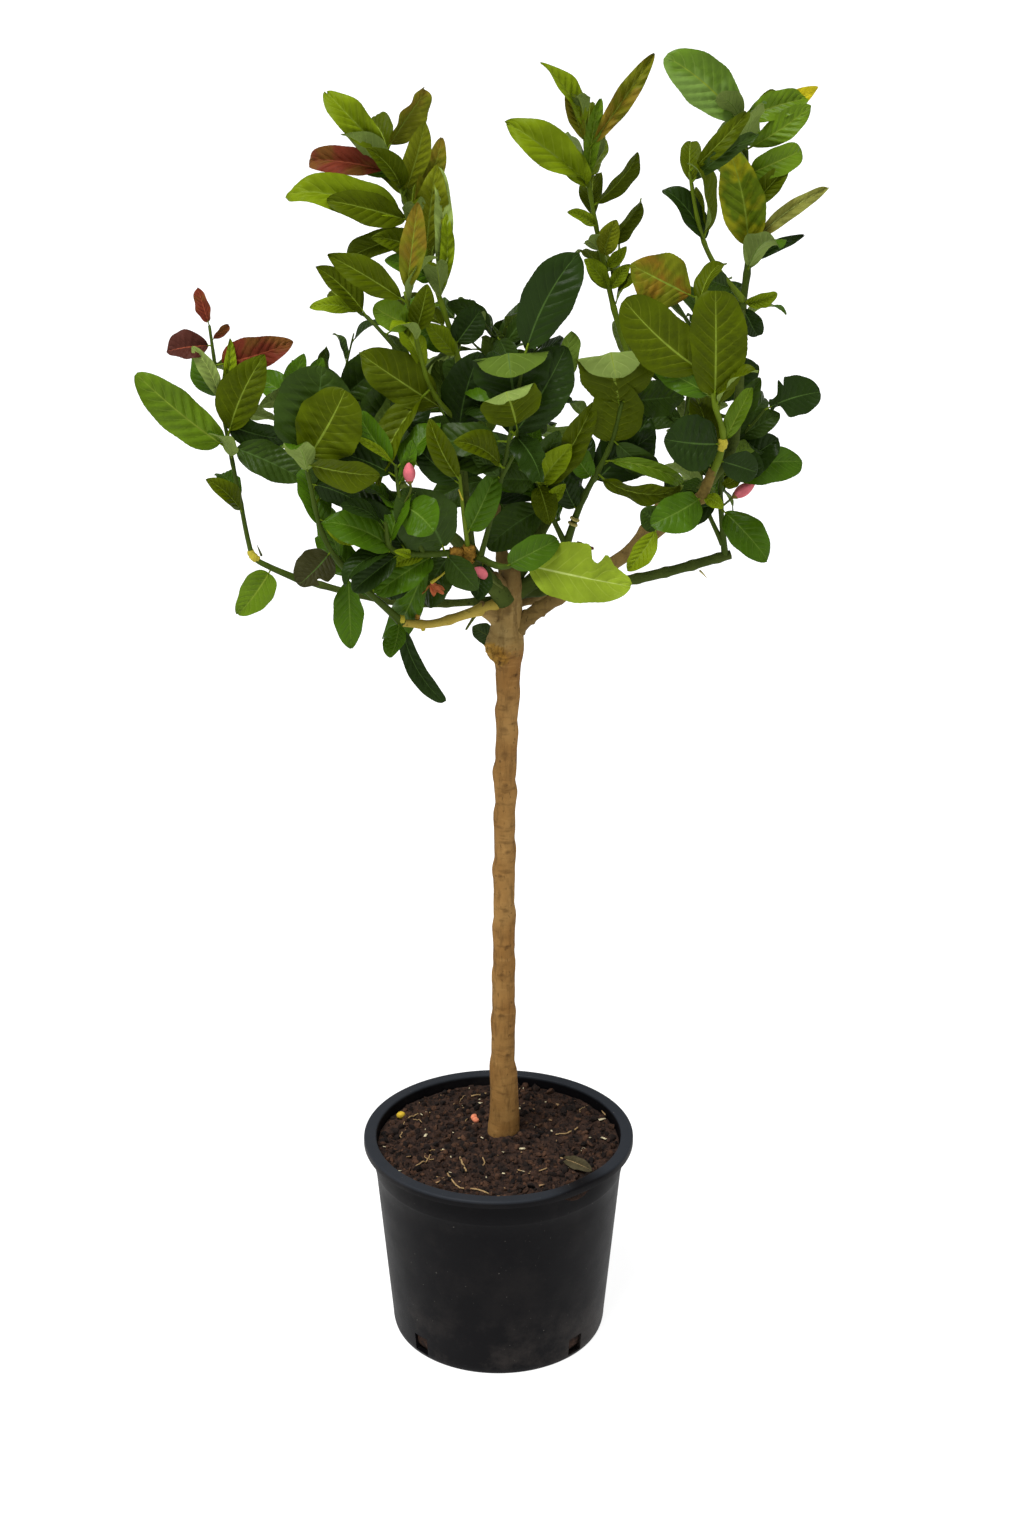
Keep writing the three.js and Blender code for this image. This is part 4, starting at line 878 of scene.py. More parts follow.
def leaf_shape(random, tint, form):
    """How one leaf bends: a young leaf is folded and pleated, an old one is flatter and wavy."""
    young = tint in YOUNG
    form = FORMS[form or ("young" if young else "plain")]
    return dict(
        fold=random.uniform(*form["fold"]),
        bend=random.uniform(*form["bend"]),
        dip=random.uniform(*form["dip"]),
        twist=random.uniform(*form.get("twist", (-24, 24))),
        turned=form.get("turned"),
        notch=form.get("notch", ()),
        sweep=form.get("sweep") or random.uniform(-0.06, 0.06),
        wave=form.get("wave") or random.uniform(0.014, 0.04),
        waves=random.uniform(1.2, 2.8),
        phases=random.uniform(0, 2 * math.pi, 2),
        pleat=form.get("pleat") or random.uniform(*((0.011, 0.017) if young else (0.007, 0.013))),
        blunt=form.get("blunt") or random.uniform(*((0.58, 0.8) if young else (0.5, 0.66))),
        widest=form.get("widest") or random.uniform(0.82, 1.06),
        uneven=random.uniform(-0.12, 0.12),
        ragged=random.uniform(0, 2 * math.pi, 3),
    )


def midrib(leaf, shape):
    """Places along the midrib and how far it is tilted there, for shares 0 to 1 of the leaf's length."""
    chord, up, side, droop = leaf_frame(leaf)
    share = np.linspace(0, 1, MIDRIB_STEPS)
    tilt = np.radians(shape["bend"]) * (0.5 - share)
    tilt = tilt - np.radians(shape["dip"]) * np.clip((share - 0.7) / 0.3, 0, 1) ** 1.5
    length = leaf["length"]
    if shape["turned"]:
        station, angle = shape["turned"]
        turn = np.clip((share - station + TURNOVER["before"]) / TURNOVER["over"], 0, 1)
        tilt = tilt + np.radians(angle) * turn * turn * (3 - 2 * turn)
        length = length / (station + TURNOVER["taken"])
    step = np.diff(share, prepend=0) * length
    along, rise = np.cumsum(np.cos(tilt) * step), np.cumsum(np.sin(tilt) * step)
    if not shape["turned"]:
        stretch = leaf["length"] / along[-1]
        along, rise = along * stretch, rise * stretch - rise[-1] * stretch * share
    lift = leaf["length"] * leaf["droop"] * 4 * share * (1 - share)
    aside = leaf["length"] * shape["sweep"] * 4 * share * (1 - share)
    places = leaf["root"] + np.outer(along, chord) + np.outer(rise, up) + np.outer(aside, side)
    return share, places + np.outer(lift, droop), tilt


def half_width(leaf, shape, s, v):
    """Half the blade's width at each row and point: its outline, teeth, ragged edge and bites."""
    blade = np.sin(np.pi * np.clip(s, 0.004, 0.996) ** shape["widest"]) ** shape["blunt"]
    teeth = 1 - BLADE["tooth"] * (np.arange(LEAF_ROWS)[:, None] % 2)
    (broad, fine), (a, b, c) = BLADE["ragged"], shape["ragged"]
    ragged = 1 + broad * np.sin(8 * s + a + np.sign(v)) + fine * np.sin(21 * s + b + c * np.sign(v))
    ragged = ragged + shape["uneven"] * np.sign(v)
    half = leaf["width"] * leaf["length"] / 2 * blade * teeth * ragged
    for at_side, station, spread, depth in shape["notch"]:
        half = half * (1 - depth * np.exp(-((s - station) / spread) ** 4) * (v * at_side > 0))
    return half + 0 * v


def folded_up(distance, slope):
    """How far aside and how high each point stands when both halves fold up from the midrib."""
    outward = np.abs(np.diff(np.abs(distance), axis=1))
    mean_slope = (slope[:, 1:] + slope[:, :-1]) / 2
    aside, up = outward * np.cos(mean_slope), outward * np.sin(mean_slope)
    right = len(LEAF_ACROSS) // 2
    x, z = np.zeros_like(distance), np.zeros_like(distance)
    x[:, right - 1:right + 1] = distance[:, right - 1:right + 1]
    for k in range(right, len(LEAF_ACROSS) - 1):
        x[:, k + 1], z[:, k + 1] = x[:, k] + aside[:, k], z[:, k] + up[:, k]
    for k in range(right - 1, 0, -1):
        x[:, k - 1], z[:, k - 1] = x[:, k] - aside[:, k - 1], z[:, k] + up[:, k - 1]
    return x, z


def grow_leaf(batch, leaf, shape, slots):
    """One leaf: petiole, blade folded along its midrib, quilted between its lateral veins."""
    chord, up, side, _ = leaf_frame(leaf)
    length = leaf["length"]
    s = np.linspace(0, 1, LEAF_ROWS)[:, None]
    v = LEAF_ACROSS[None, :]
    shares, places, tilts = midrib(leaf, shape)

    def on_midrib(at):
        return np.stack([np.interp(at, shares, places[:, k]) for k in range(3)], axis=1)

    along = (LEAF["petiole"] + (1 - LEAF["petiole"]) * s)[:, 0]
    tilt = np.interp(along, shares, tilts)
    normal = np.outer(np.cos(tilt), up) - np.outer(np.sin(tilt), chord)
    half = half_width(leaf, shape, s, v)
    rib = np.abs(v) < RIB_SHARE
    distance = np.where(rib, v * half.clip(0.02 * length) * (0.9 - 0.75 * s), v * half)
    x, z = folded_up(distance, np.radians(shape["fold"]) * (1.15 - 0.4 * s) * (1.25 - 1.15 * np.abs(v)))
    sway = np.where(v < 0, shape["phases"][0], shape["phases"][1])
    z = z + shape["wave"] * length * np.abs(v) ** 2 * np.sin(2 * np.pi * shape["waves"] * s + sway)
    quilt = np.cos(2 * np.pi * VEINS * (s - VEIN_SLANT * np.abs(v) * half / (0.2 * length)))
    z = z - shape["pleat"] * length * quilt * np.sin(np.pi * np.abs(v)) ** 0.7 * np.sin(np.pi * s) ** 0.5
    z = z - np.where(rib, BLADE["rib_depth"] * length, 0)
    turn = np.radians(shape["twist"]) * (s - BLADE["twist_middle"])
    x, z = x * np.cos(turn) - z * np.sin(turn), x * np.sin(turn) + z * np.cos(turn)
    top = on_midrib(along)[:, None] + x[..., None] * side + z[..., None] * normal[:, None]
    thick = np.where(rib, BLADE["rib_thick"] - BLADE["rib_taper"] * s, BLADE["thick"]) + 0 * v
    bottom = top - thick[..., None] * normal[:, None]
    vertices = np.concatenate([top.reshape(-1, 3), bottom[1:-1, 1:-1].reshape(-1, 3)])
    uv = np.stack(np.broadcast_arrays(s, (v + 1) / 2), axis=-1)
    uv = np.concatenate([uv.reshape(-1, 2), uv[1:-1, 1:-1].reshape(-1, 2)])
    kinds = [np.where(LEAF_TEMPLATE["rib"], slots["rib"], slots[face]) for face in ("upper", "under")]
    batch.add(vertices, [LEAF_TEMPLATE["upper"], LEAF_TEMPLATE["under"]], kinds, uv, LEAF_TEMPLATE["border"])
    thickness = BLADE["stalk"][0] + BLADE["stalk"][1] * length
    radii = np.array(BLADE["stalk_shape"]) * thickness
    stalk = on_midrib(np.linspace(0, LEAF["petiole"] + BLADE["stalk_end"], len(radii)))
    tube(batch, stalk, radii, BLADE["stalk_sides"], slots["stalk"])


# Materials

class Nodes:
    """A material's node tree, with short calls for the nodes used here."""

    def __init__(self, name):
        self.material = bpy.data.materials.new(name)
        self.material.use_nodes = True
        self.tree = self.material.node_tree
        self.shader = self.tree.nodes["Principled BSDF"]

    def node(self, kind, inputs=(), **settings):
        made = self.tree.nodes.new(kind)
        for key, value in settings.items():
            setattr(made, key, value)
        for key, value in dict(inputs).items():
            if isinstance(value, bpy.types.NodeSocket):
                self.tree.links.new(value, made.inputs[key])
            else:
                made.inputs[key].default_value = value
        return made

    def place(self):
        return self.node("ShaderNodeTexCoord").outputs["Object"]

    def parts(self, vector):
        return self.node("ShaderNodeSeparateXYZ", {0: vector}).outputs

    def layer(self):
        """The parts of the coordinates that a mesh carries in its leaf layer."""
        return self.parts(self.node("ShaderNodeUVMap", uv_map="leaf").outputs["UV"])

    def noise(self, scale, detail=4.0, roughness=0.55, stretch=None):
        place = self.place()
        if stretch is not None:
            place = self.node("ShaderNodeMapping", {"Vector": place, "Scale": stretch}).outputs["Vector"]
        made = self.node("ShaderNodeTexNoise", {"Vector": place, "Scale": scale, "Detail": detail,
                                                "Roughness": roughness})
        return made.outputs["Fac"]

    def ramp(self, value, low, high, first=0.0, last=1.0):
        """The first value below low, the last above high, and a straight line between."""
        inputs = {"Value": value, "From Min": low, "From Max": high, "To Min": first, "To Max": last}
        return self.node("ShaderNodeMapRange", inputs).outputs["Result"]

    def sums(self, operation, a, b=0.0, c=0.0):
        return self.node("ShaderNodeMath", {0: a, 1: b, 2: c}, operation=operation).outputs[0]

    def times(self, a, b):
        return self.sums("MULTIPLY", a, b)

    def scaled(self, a, factor, more):
        return self.sums("MULTIPLY_ADD", a, factor, more)

    def blend(self, share, a, b):
        return self.node("ShaderNodeMix", {0: share, 6: a, 7: b}, data_type="RGBA").outputs[2]

    def mottled(self, patches, base, mottle):
        """A shade that is darker and lighter in patches, by a share of itself."""
        return self.blend(self.ramp(patches, 0.3, 0.7), colour(base, 1 - mottle), colour(base, 1 + mottle))

    def bump(self, height, strength, distance):
        inputs = {"Height": height, "Strength": strength, "Distance": distance}
        return self.node("ShaderNodeBump", inputs).outputs["Normal"]

    def shade(self, **sockets):
        for key, value in sockets.items():
            socket = self.shader.inputs[key.replace("_", " ")]
            if isinstance(value, bpy.types.NodeSocket):
                self.tree.links.new(value, socket)
            else:
                socket.default_value = value


def colour(screen, share=1.0):
    """A colour given as it looks on screen, from 0 to 255, as a share of the linear value a shader takes."""
    parts = [c / 255 for c in screen]
    linear = [c / 12.92 if c <= 0.04045 else ((c + 0.055) / 1.055) ** 2.4 for c in parts]
    return tuple(c * share for c in linear) + (1.0,)


def leaf_material(name, base, vein, patch=None, roughness=0.42, coat=0.12, depth=0.35, mottle=0.14):
    """A leaf's face: lateral veins from its own coordinates, mottling and a waxy gloss."""
    m = Nodes(name)
    uv = m.layer()
    across = m.sums("ABSOLUTE", m.scaled(uv["Y"], 2.0, -1.0))
    phase = m.sums("FRACT", m.times(m.scaled(across, -VEIN_SLANT, uv["X"]), float(VEINS)))
    off_vein = m.sums("ABSOLUTE", m.sums("SUBTRACT", phase, 0.5))
    fade = m.ramp(across, 1.0, 0.3)
    on_vein = m.times(m.ramp(off_vein, 0.42, 0.5), fade)
    near_rib = m.ramp(across, 0.13, 0.05)
    patches = m.noise(45.0, 3.0)
    shade = m.mottled(patches, base, mottle)
    if patch:
        shade = m.blend(m.ramp(m.noise(38.0, 2.0), 0.46, 0.6), shade, colour(patch))
    lines = m.sums("MAXIMUM", m.times(on_vein, depth), m.times(near_rib, depth * 0.45))
    pillow = m.times(off_vein, m.times(off_vein, -4.0))
    height = m.scaled(m.noise(900.0, 2.0), 0.12, m.times(pillow, fade))
    m.shade(Base_Color=m.blend(lines, shade, colour(vein)), Normal=m.bump(height, 0.6, 0.0011),
            Roughness=m.ramp(patches, 0.0, 1.0, roughness - 0.06, roughness + 0.1),
            Coat_Weight=coat, Coat_Roughness=0.2, Specular_IOR_Level=0.05)
    return m.material


def plain_material(name, base, roughness=0.5, mottle=0.2, scale=120.0, stretch=None):
    """A dull mottled skin, for stalks, buds and litter."""
    m = Nodes(name)
    patches = m.noise(scale, 4.0, stretch=stretch)
    m.shade(Base_Color=m.mottled(patches, base, mottle), Normal=m.bump(patches, 0.3, 0.0008),
            Roughness=roughness, Specular_IOR_Level=0.08)
    return m.material


def bark_skin(m, base, deep, pale, fissure=1.0):
    """Colour and relief of bark: pale skin with darker streaks up the limb, and small lenticels."""
    streaks = m.noise(150.0, 6.0, 0.65, stretch=(1.0, 1.0, 0.24))
    rings = m.noise(110.0, 4.0, 0.6, stretch=(0.4, 0.4, 1.3))
    patches = m.noise(18.0, 4.0)
    grain = m.noise(600.0, 3.0, stretch=(1.0, 1.0, 0.3))
    spots = m.ramp(m.noise(260.0, 1.0, stretch=(1.0, 1.0, 0.6)), 0.68, 0.74)
    skin = m.blend(m.ramp(patches, 0.35, 0.68), colour(base), colour(pale))
    skin = m.blend(m.times(m.ramp(rings, 0.56, 0.7), 0.5), skin, colour(pale, 1.15))
    skin = m.blend(m.times(m.ramp(rings, 0.44, 0.3), 0.5), skin, colour(deep))
    skin = m.blend(m.times(m.ramp(streaks, 0.5, 0.33), 0.5 * fissure), skin, colour(deep))
    skin = m.blend(m.times(spots, 0.5), skin, colour(deep, 0.6))
    return skin, m.scaled(grain, 0.35, m.scaled(rings, 0.6, streaks))


def bark_material(name, base, deep, pale, fissure):
    m = Nodes(name)
    skin, height = bark_skin(m, base, deep, pale, fissure)
    m.shade(Base_Color=skin, Normal=m.bump(height, 0.5 * fissure, 0.0012), Roughness=0.85,
            Specular_IOR_Level=0.08)
    return m.material


def trunk_material():
    """The stock's bark and the scion's above it. The leaf layer marks the scars in X and the callus in Y."""
    m = Nodes("trunk_bark")
    marks = m.layer()
    edge = m.noise(240.0, 3.0)
    skin, height = bark_skin(m, (126, 90, 46), (68, 46, 22), (146, 112, 64))
    upper, _ = bark_skin(m, (132, 106, 60), (72, 52, 26), (156, 134, 86))
    crust, _ = bark_skin(m, (140, 102, 40), (48, 30, 12), (176, 140, 66), 1.8)
    rise = m.scaled(edge, 0.02, m.parts(m.place())["Z"])
    skin = m.blend(m.ramp(rise, 0.748, 0.762), skin, upper)
    # Painted shade: the bark darkens towards the top of the trunk, where the crown shades it
    skin = m.blend(m.times(m.ramp(rise, 0.79, 0.826), 0.6), skin, colour((78, 58, 26)))
    skin = m.blend(m.ramp(m.scaled(edge, 0.7, marks["Y"]), 0.75, 0.95), skin, crust)
    scar = m.ramp(m.scaled(edge, 0.6, marks["X"]), 0.6, 1.1)
    skin = m.blend(m.times(scar, 0.45), skin, colour((70, 48, 26)))
    m.shade(Base_Color=skin, Normal=m.bump(height, 0.5, 0.0012), Roughness=0.85, Specular_IOR_Level=0.08)
    return m.material


# Each tint of leaf: its upper face, its veins and, on a mottled one, its patches
LEAF_TINTS = dict(
    # deep is a darker copy of dark: painted shade, for leaves in the crown's shade
    dark=((44, 63, 15), (72, 94, 34)), deep=((30, 47, 10), (48, 68, 22)), dull=((46, 46, 22), (72, 74, 36)),
    mid=((60, 90, 10), (98, 124, 42)), olive=((66, 78, 0), (116, 128, 30)),
    fresh=((85, 111, 18), (124, 146, 52)), sheen=((84, 112, 30), (128, 150, 70), (104, 132, 58)),
    # sheen's lighter grey-green patches are a painted sheen
    spring=((98, 106, 12), (150, 154, 58)), mottled=((80, 98, 12), (128, 142, 44), (126, 126, 18)),
    tan=((118, 120, 52), (150, 148, 80), (110, 104, 42)), light=((104, 122, 10), (150, 166, 56)),
    lime=((122, 142, 34), (162, 178, 74)), pale=((124, 142, 70), (160, 174, 104)),
    bronze=((98, 102, 16), (136, 134, 56), (112, 96, 24)),
    orange=((94, 100, 14), (136, 128, 40), (118, 92, 20)), red=((104, 44, 28), (138, 72, 42), (104, 66, 28)),
    purple=((72, 38, 30), (106, 58, 48)), yellow=((190, 176, 24), (204, 194, 72)),
)
UNDER_TINTS = dict(green=((76, 96, 28), (108, 128, 56)), fresh=((112, 130, 62), (148, 162, 90)),
                   red=((110, 50, 38), (140, 78, 52)))
RIB_TINTS = dict(rib=(116, 134, 40), rib_dark=(62, 86, 34), rib_pale=(168, 184, 98), rib_mid=(88, 114, 36),
                 rib_red=(150, 76, 50), stalk=(92, 112, 14))
UNDER_OF = dict.fromkeys(("dark", "deep", "dull"), "green") | dict.fromkeys(("red", "purple"), "red")
RIB_OF = (dict.fromkeys(("red", "purple"), "rib_red") | dict.fromkeys(("dark", "deep", "dull"), "rib_dark")
          | dict.fromkeys(("lime", "pale", "tan"), "rib_pale") | dict(mid="rib_mid"))
GLOSSY = ("dark", "deep", "mid", "fresh", "sheen")
YOUNG = ("light", "bronze", "red", "purple", "olive", "orange", "yellow", "spring", "mottled", "tan")


def leaf_materials():
    """The materials of every foliage piece, and the number of each by name."""
    made = {}
    for tint, shades in LEAF_TINTS.items():
        roughness, coat = (0.34, 0.05) if tint in GLOSSY else (0.46, 0.0)
        made[tint] = leaf_material("leaf_" + tint, *shades, roughness=roughness, coat=coat)
    for tint, shades in UNDER_TINTS.items():
        made["under_" + tint] = leaf_material("leaf_under_" + tint, *shades, roughness=0.62, coat=0.0,
                                              depth=0.5)
    for name, shade in RIB_TINTS.items():
        made[name] = plain_material("leaf_" + name, shade)
    return list(made.values()), {name: number for number, name in enumerate(made)}


# Pot

def arc(centre, radius, start, end, steps):
    """Points of an arc in the profile's plane, between two angles in degrees."""
    angles = np.radians(np.linspace(start, end, steps))
    return [(centre[0] + radius * math.cos(a), centre[1] + radius * math.sin(a)) for a in angles]


def pot_profile():
    """Half of the pot's section, from the middle of its underside round the rim to its floor."""
    p = POT
    neck, lip, mouth = p["neck_round"], p["lip_round"], p["mouth_round"]
    lip_in = p["rim_radius"] - p["lip_thickness"]
    neck_top = p["height"] - p["rim_thickness"] - neck
    lip_foot = p["height"] - p["lip_drop"] + lip
    rim_middle = (p["rim_radius"] - p["rim_round"], p["height"] - p["rim_round"])
    shoulder = p["wall_top"] - p["shoulder_step"]
    shoulder_top = p["shoulder_height"] + 3
    outer = [(0, p["recess"]), (p["recess_radius"], p["recess"]), (p["recess_radius"] + 2, 0),
             (p["foot_radius"] - 1, 0)]
    for share in np.linspace(0.12, 1, 7):
        outer.append((mix(p["foot_radius"], p["wall_foot"], math.sin(share * math.pi / 2)),
                      p["foot_rise"] * (1 - math.cos(share * math.pi / 2))))
    for share in np.linspace(0.1, 1, 12):
        outer.append((mix(p["wall_foot"], shoulder, share),
                      mix(p["foot_rise"], p["shoulder_height"], share)))
    outer += [(p["wall_top"] - 0.5, p["shoulder_height"] + 1.2), (p["wall_top"], shoulder_top)]
    outer += [(p["wall_top"], mix(shoulder_top, neck_top, share)) for share in (0.3, 0.6, 0.9)]
    outer += arc((p["wall_top"] + neck, neck_top), neck, 180, 90, 4)
    outer += arc((lip_in - neck, neck_top), neck, 90, 0, 4)
    outer += [(lip_in, lip_foot)]
    outer += arc((lip_in + lip, lip_foot), lip, 180, 270, 3)
    outer += arc((p["rim_radius"] - lip, lip_foot), lip, 270, 360, 3)
    outer += arc(rim_middle, p["rim_round"], 0, 90, 7)
    inner = arc((p["mouth_radius"] + mouth, p["height"] - mouth), mouth, 90, 180, 6)
    for share in (0.25, 0.5, 0.75, 1):
        inner.append((mix(p["mouth_radius"], shoulder - p["wall"], share),
                      mix(p["height"] - mouth, p["shoulder_height"], share)))
    inner += [(p["wall_foot"] - p["wall"], p["foot_rise"]), (p["foot_radius"] - p["wall"], p["floor"]),
              (0, p["floor"])]
    return outer + inner


def turn_profile(profile, segments):
    """Vertices and faces of a round solid whose profile starts and ends on the axis."""
    angles = ring_angles(segments)
    rows = [np.stack([radius * np.cos(angles), radius * np.sin(angles), np.full(segments, height)], -1)
            for radius, height in profile[1:-1]]
    return closed_rows(rows, [[0, 0, profile[0][1]], [0, 0, profile[-1][1]]])


POT_SEGMENTS = 192
POT_SHARP_ANGLE = 38
BOX_FACES = np.array([(0, 1, 3, 2), (4, 6, 7, 5), (0, 4, 5, 1), (2, 3, 7, 6), (0, 2, 6, 4), (1, 5, 7, 3)])
# Where the rim is pushed in, in degrees and millimetres, and how far the whole wall is out of round
DENT = dict(wobble=0.5, heading=-50, half_angle=15, depth=6.0, dip=3.5, from_height=150)


def dented(vertices):
    """The rim is pushed in a little where the pot has been carried."""
    x, y, z = vertices.T
    heading = np.degrees(np.arctan2(y, x))
    share = np.exp(-(off_heading(heading, DENT["heading"]) / DENT["half_angle"]) ** 2)
    share = share * np.clip((z - DENT["from_height"]) / (POT["height"] - DENT["from_height"]), 0, 1) ** 1.5
    radius = np.maximum(np.hypot(x, y), 1)
    scale = 1 - DENT["depth"] * share / radius
    wobble = DENT["wobble"] * np.sin(3 * np.radians(heading) + 0.7) * np.clip(z / POT["height"], 0, 1)
    wobble = wobble * (radius > POT["recess_radius"])
    scale = scale + wobble / radius
    return np.stack([x * scale, y * scale, z - DENT["dip"] * share], axis=-1)


def cut_slots(piece):
    """The drain slots, cut through the wall at its foot."""
    cutters = Batch()
    for heading in POT["slot_headings"]:
        out = compass(heading, 0)
        side = compass(heading + 90, 0)
        corners = []
        for reach in (POT["wall_foot"] - POT["slot_reach"], POT["wall_foot"] + POT["slot_reach"]):
            for width in (-POT["slot_width"] / 2, POT["slot_width"] / 2):
                for height in (POT["slot_foot"], POT["slot_foot"] + POT["slot_height"]):
                    corners.append(out * reach + side * width + UP * height)
        cutters.add(corners, [BOX_FACES], [0])
    cutter = cutters.build("slot_cutter", [])
    modifier = piece.modifiers.new("slots", "BOOLEAN")
    modifier.operation = "DIFFERENCE"
    modifier.solver = "EXACT"
    modifier.object = cutter
    shape = piece.evaluated_get(bpy.context.evaluated_depsgraph_get())
    cut = bpy.data.meshes.new_from_object(shape)
    piece.modifiers.clear()
    piece.data = cut
    bpy.data.objects.remove(cutter)


def pot_material():
    """Black moulded plastic: a faint sheen, fine scratches, and dust in patches low on the wall."""
    m = Nodes("pot_plastic")
    height = m.parts(m.place())["Z"]
    near_foot = m.ramp(height, 0.08, 0.0)
    rim_highlight = m.ramp(height, 0.2165, 0.219)
    dust = m.ramp(m.noise(14.0, 7.0, 0.72), 0.47, 0.72)
    specks = m.ramp(m.noise(330.0, 2.0), 0.74, 0.79)
    scratch = m.ramp(m.noise(90.0, 5.0, 0.7, stretch=(1.0, 1.0, 6.0)), 0.62, 0.8)
    dusty = m.times(dust, m.scaled(near_foot, 0.26, 0.05))
    # Painted highlight: the top of the rim is blended towards a lighter blue-grey, where it faces the light
    shade = m.blend(m.times(rim_highlight, 0.55), colour((9, 8, 10)), colour((50, 54, 60)))
    shade = m.blend(dusty, shade, colour((96, 88, 82)))
    shade = m.blend(m.times(specks, 0.3), shade, colour((150, 146, 136)))
    shade = m.blend(m.times(scratch, 0.08), shade, colour((96, 98, 102)))
    grain = m.noise(1400.0, 2.0)
    m.shade(Base_Color=shade, Roughness=m.ramp(m.noise(40.0, 4.0), 0.0, 1.0, 0.42, 0.6),
            Normal=m.bump(grain, 0.18, 0.0004), Specular_IOR_Level=0.07)
    return m.material


def make_pot():
    batch = Batch()
    vertices, faces = turn_profile(pot_profile(), POT_SEGMENTS)
    batch.add(dented(vertices), faces, [0, 0])
    piece = batch.build("pot_shell", [pot_material()])
    cut_slots(piece)
    piece.data.set_sharp_from_angle(angle=math.radians(POT_SHARP_ANGLE))
    finish_piece(piece, ["pot"])


# Soil

def soil_height(x, y):
    """The crumbly top of the soil, in millimetres above the underside."""
    radius = math.hypot(x, y)
    base = SOIL["level"] - SOIL["mound"] * min(radius / SOIL["mound_radius"], 1)
    rough = noise.fractal(Vector((x * 0.04, y * 0.04, 3.0)), 0.9, 2.1, 6) * SOIL["rough"]
    lumps = abs(noise.noise(Vector((x * 0.14, y * 0.14, 9.0)))) * SOIL["lumps"] - SOIL["lumps"] / 4
    near_trunk = bell(math.hypot(x - TRUNK_FOOT[0], y - TRUNK_FOOT[1]) / SOIL["trunk_ease"])
    near_wall = min(max((radius - SOIL["wall_from"]) / SOIL["wall_ease"], 0), 1)
    rough_share = 1 - 0.6 * max(near_trunk, near_wall)
    return base + (rough + lumps) * rough_share + SOIL["trunk_rise"] * near_trunk


# Each soil shade: where it is lit and where it is deep
SOIL_SHADES = dict(soil=((62, 43, 33), (22, 15, 12)), soil_brown=((84, 58, 42), (44, 30, 22)),
                   soil_black=((36, 26, 21), (14, 10, 9)))
SOIL_SEGMENTS = 220
SOIL_RINGS = 74
# How far the soil stays within the pot's mouth and within its wall
MOUTH_GAP = 1.2
WALL_GAP = 0.8


def soil_material(name, base, dark):
    m = Nodes(name)
    patches = m.noise(140.0, 6.0, 0.7)
    height = m.sums("ADD", patches, m.noise(900.0, 4.0, 0.7))
    # Painted shade: the noise that makes the bump's hollows also gives them the dark colour
    m.shade(Base_Color=m.blend(m.ramp(patches, 0.38, 0.62), colour(dark), colour(base)),
            Normal=m.bump(height, 0.8, 0.0015), Roughness=0.92, Specular_IOR_Level=0.2)
    return m.material


def make_soil():
    shades = [soil_material(name, *pair) for name, pair in SOIL_SHADES.items()]
    inside_wall = POT["wall"] + 1
    low_edge = POT["wall_top"] - POT["shoulder_step"] - POT["wall"] - WALL_GAP
    angles = ring_angles(SOIL_SEGMENTS)
    rows = []
    for radius, height in ((POT["foot_radius"] - inside_wall, POT["floor"] + 0.4),
                           (POT["wall_foot"] - inside_wall, POT["foot_rise"]),
                           (low_edge, POT["shoulder_height"])):
        rows.append([(radius * math.cos(a), radius * math.sin(a), height) for a in angles])
    for radius in np.linspace(POT["mouth_radius"] - MOUTH_GAP, 3, SOIL_RINGS):
        rows.append([over_soil(radius * math.cos(a), radius * math.sin(a), 0) for a in angles])
    vertices, faces = closed_rows(rows, [[0, 0, POT["floor"] + 0.4], over_soil(0, 0, 0)])
    batch = Batch()
    batch.add(vertices, faces, [0, 0])
    piece = batch.build("soil_bed", shades[:1])
    finish_piece(piece, ["soil"])
    make_crumbs(shades)
    make_litter()


def lump_shape():
    """A crumb's twelve corners, two rings of five between a top and a foot, and its twenty faces."""
    radius, rise = 0.8944, 0.4472
    corners = [(0, 0, 1)]
    for height, first in ((rise, 0), (-rise, 36)):
        for k in range(5):
            angle = math.radians(first + 72 * k)
            place = (radius * math.cos(angle), radius * math.sin(angle), height)
            corners.append([round(value, 2) for value in place])
    corners.append((0, 0, -1))
    rings = [(1 + k, 1 + (k + 1) % 5, 6 + k, 6 + (k + 1) % 5) for k in range(5)]
    faces = [(0, a, b) for a, b, c, d in rings] + [(a, c, b) for a, b, c, d in rings]
    faces += [(b, c, d) for a, b, c, d in rings] + [(c, 11, d) for a, b, c, d in rings]
    return np.array(corners, float), np.array(faces)


# How many loose things lie on the soil, how far from its middle, and how near the trunk's foot. size: the
# least size of a crumb, and how much more the largest has.
CRUMBS = dict(count=3600, reach=123, size=(0.9, 4.6), sharp_angle=50)
LOOSE_CHIPS = dict(count=60, reach=120)
LOOSE_STRAWS = dict(count=12, reach=108)
TRUNK_ROOM = 21


def spot_on_soil(random, reach):
    """A place on the soil, away from the trunk."""
    while True:
        radius = reach * math.sqrt(random.uniform(0, 1))
        angle = random.uniform(0, 2 * math.pi)
        x, y = radius * math.cos(angle), radius * math.sin(angle)
        if math.hypot(x - TRUNK_FOOT[0], y - TRUNK_FOOT[1]) > TRUNK_ROOM:
            return x, y


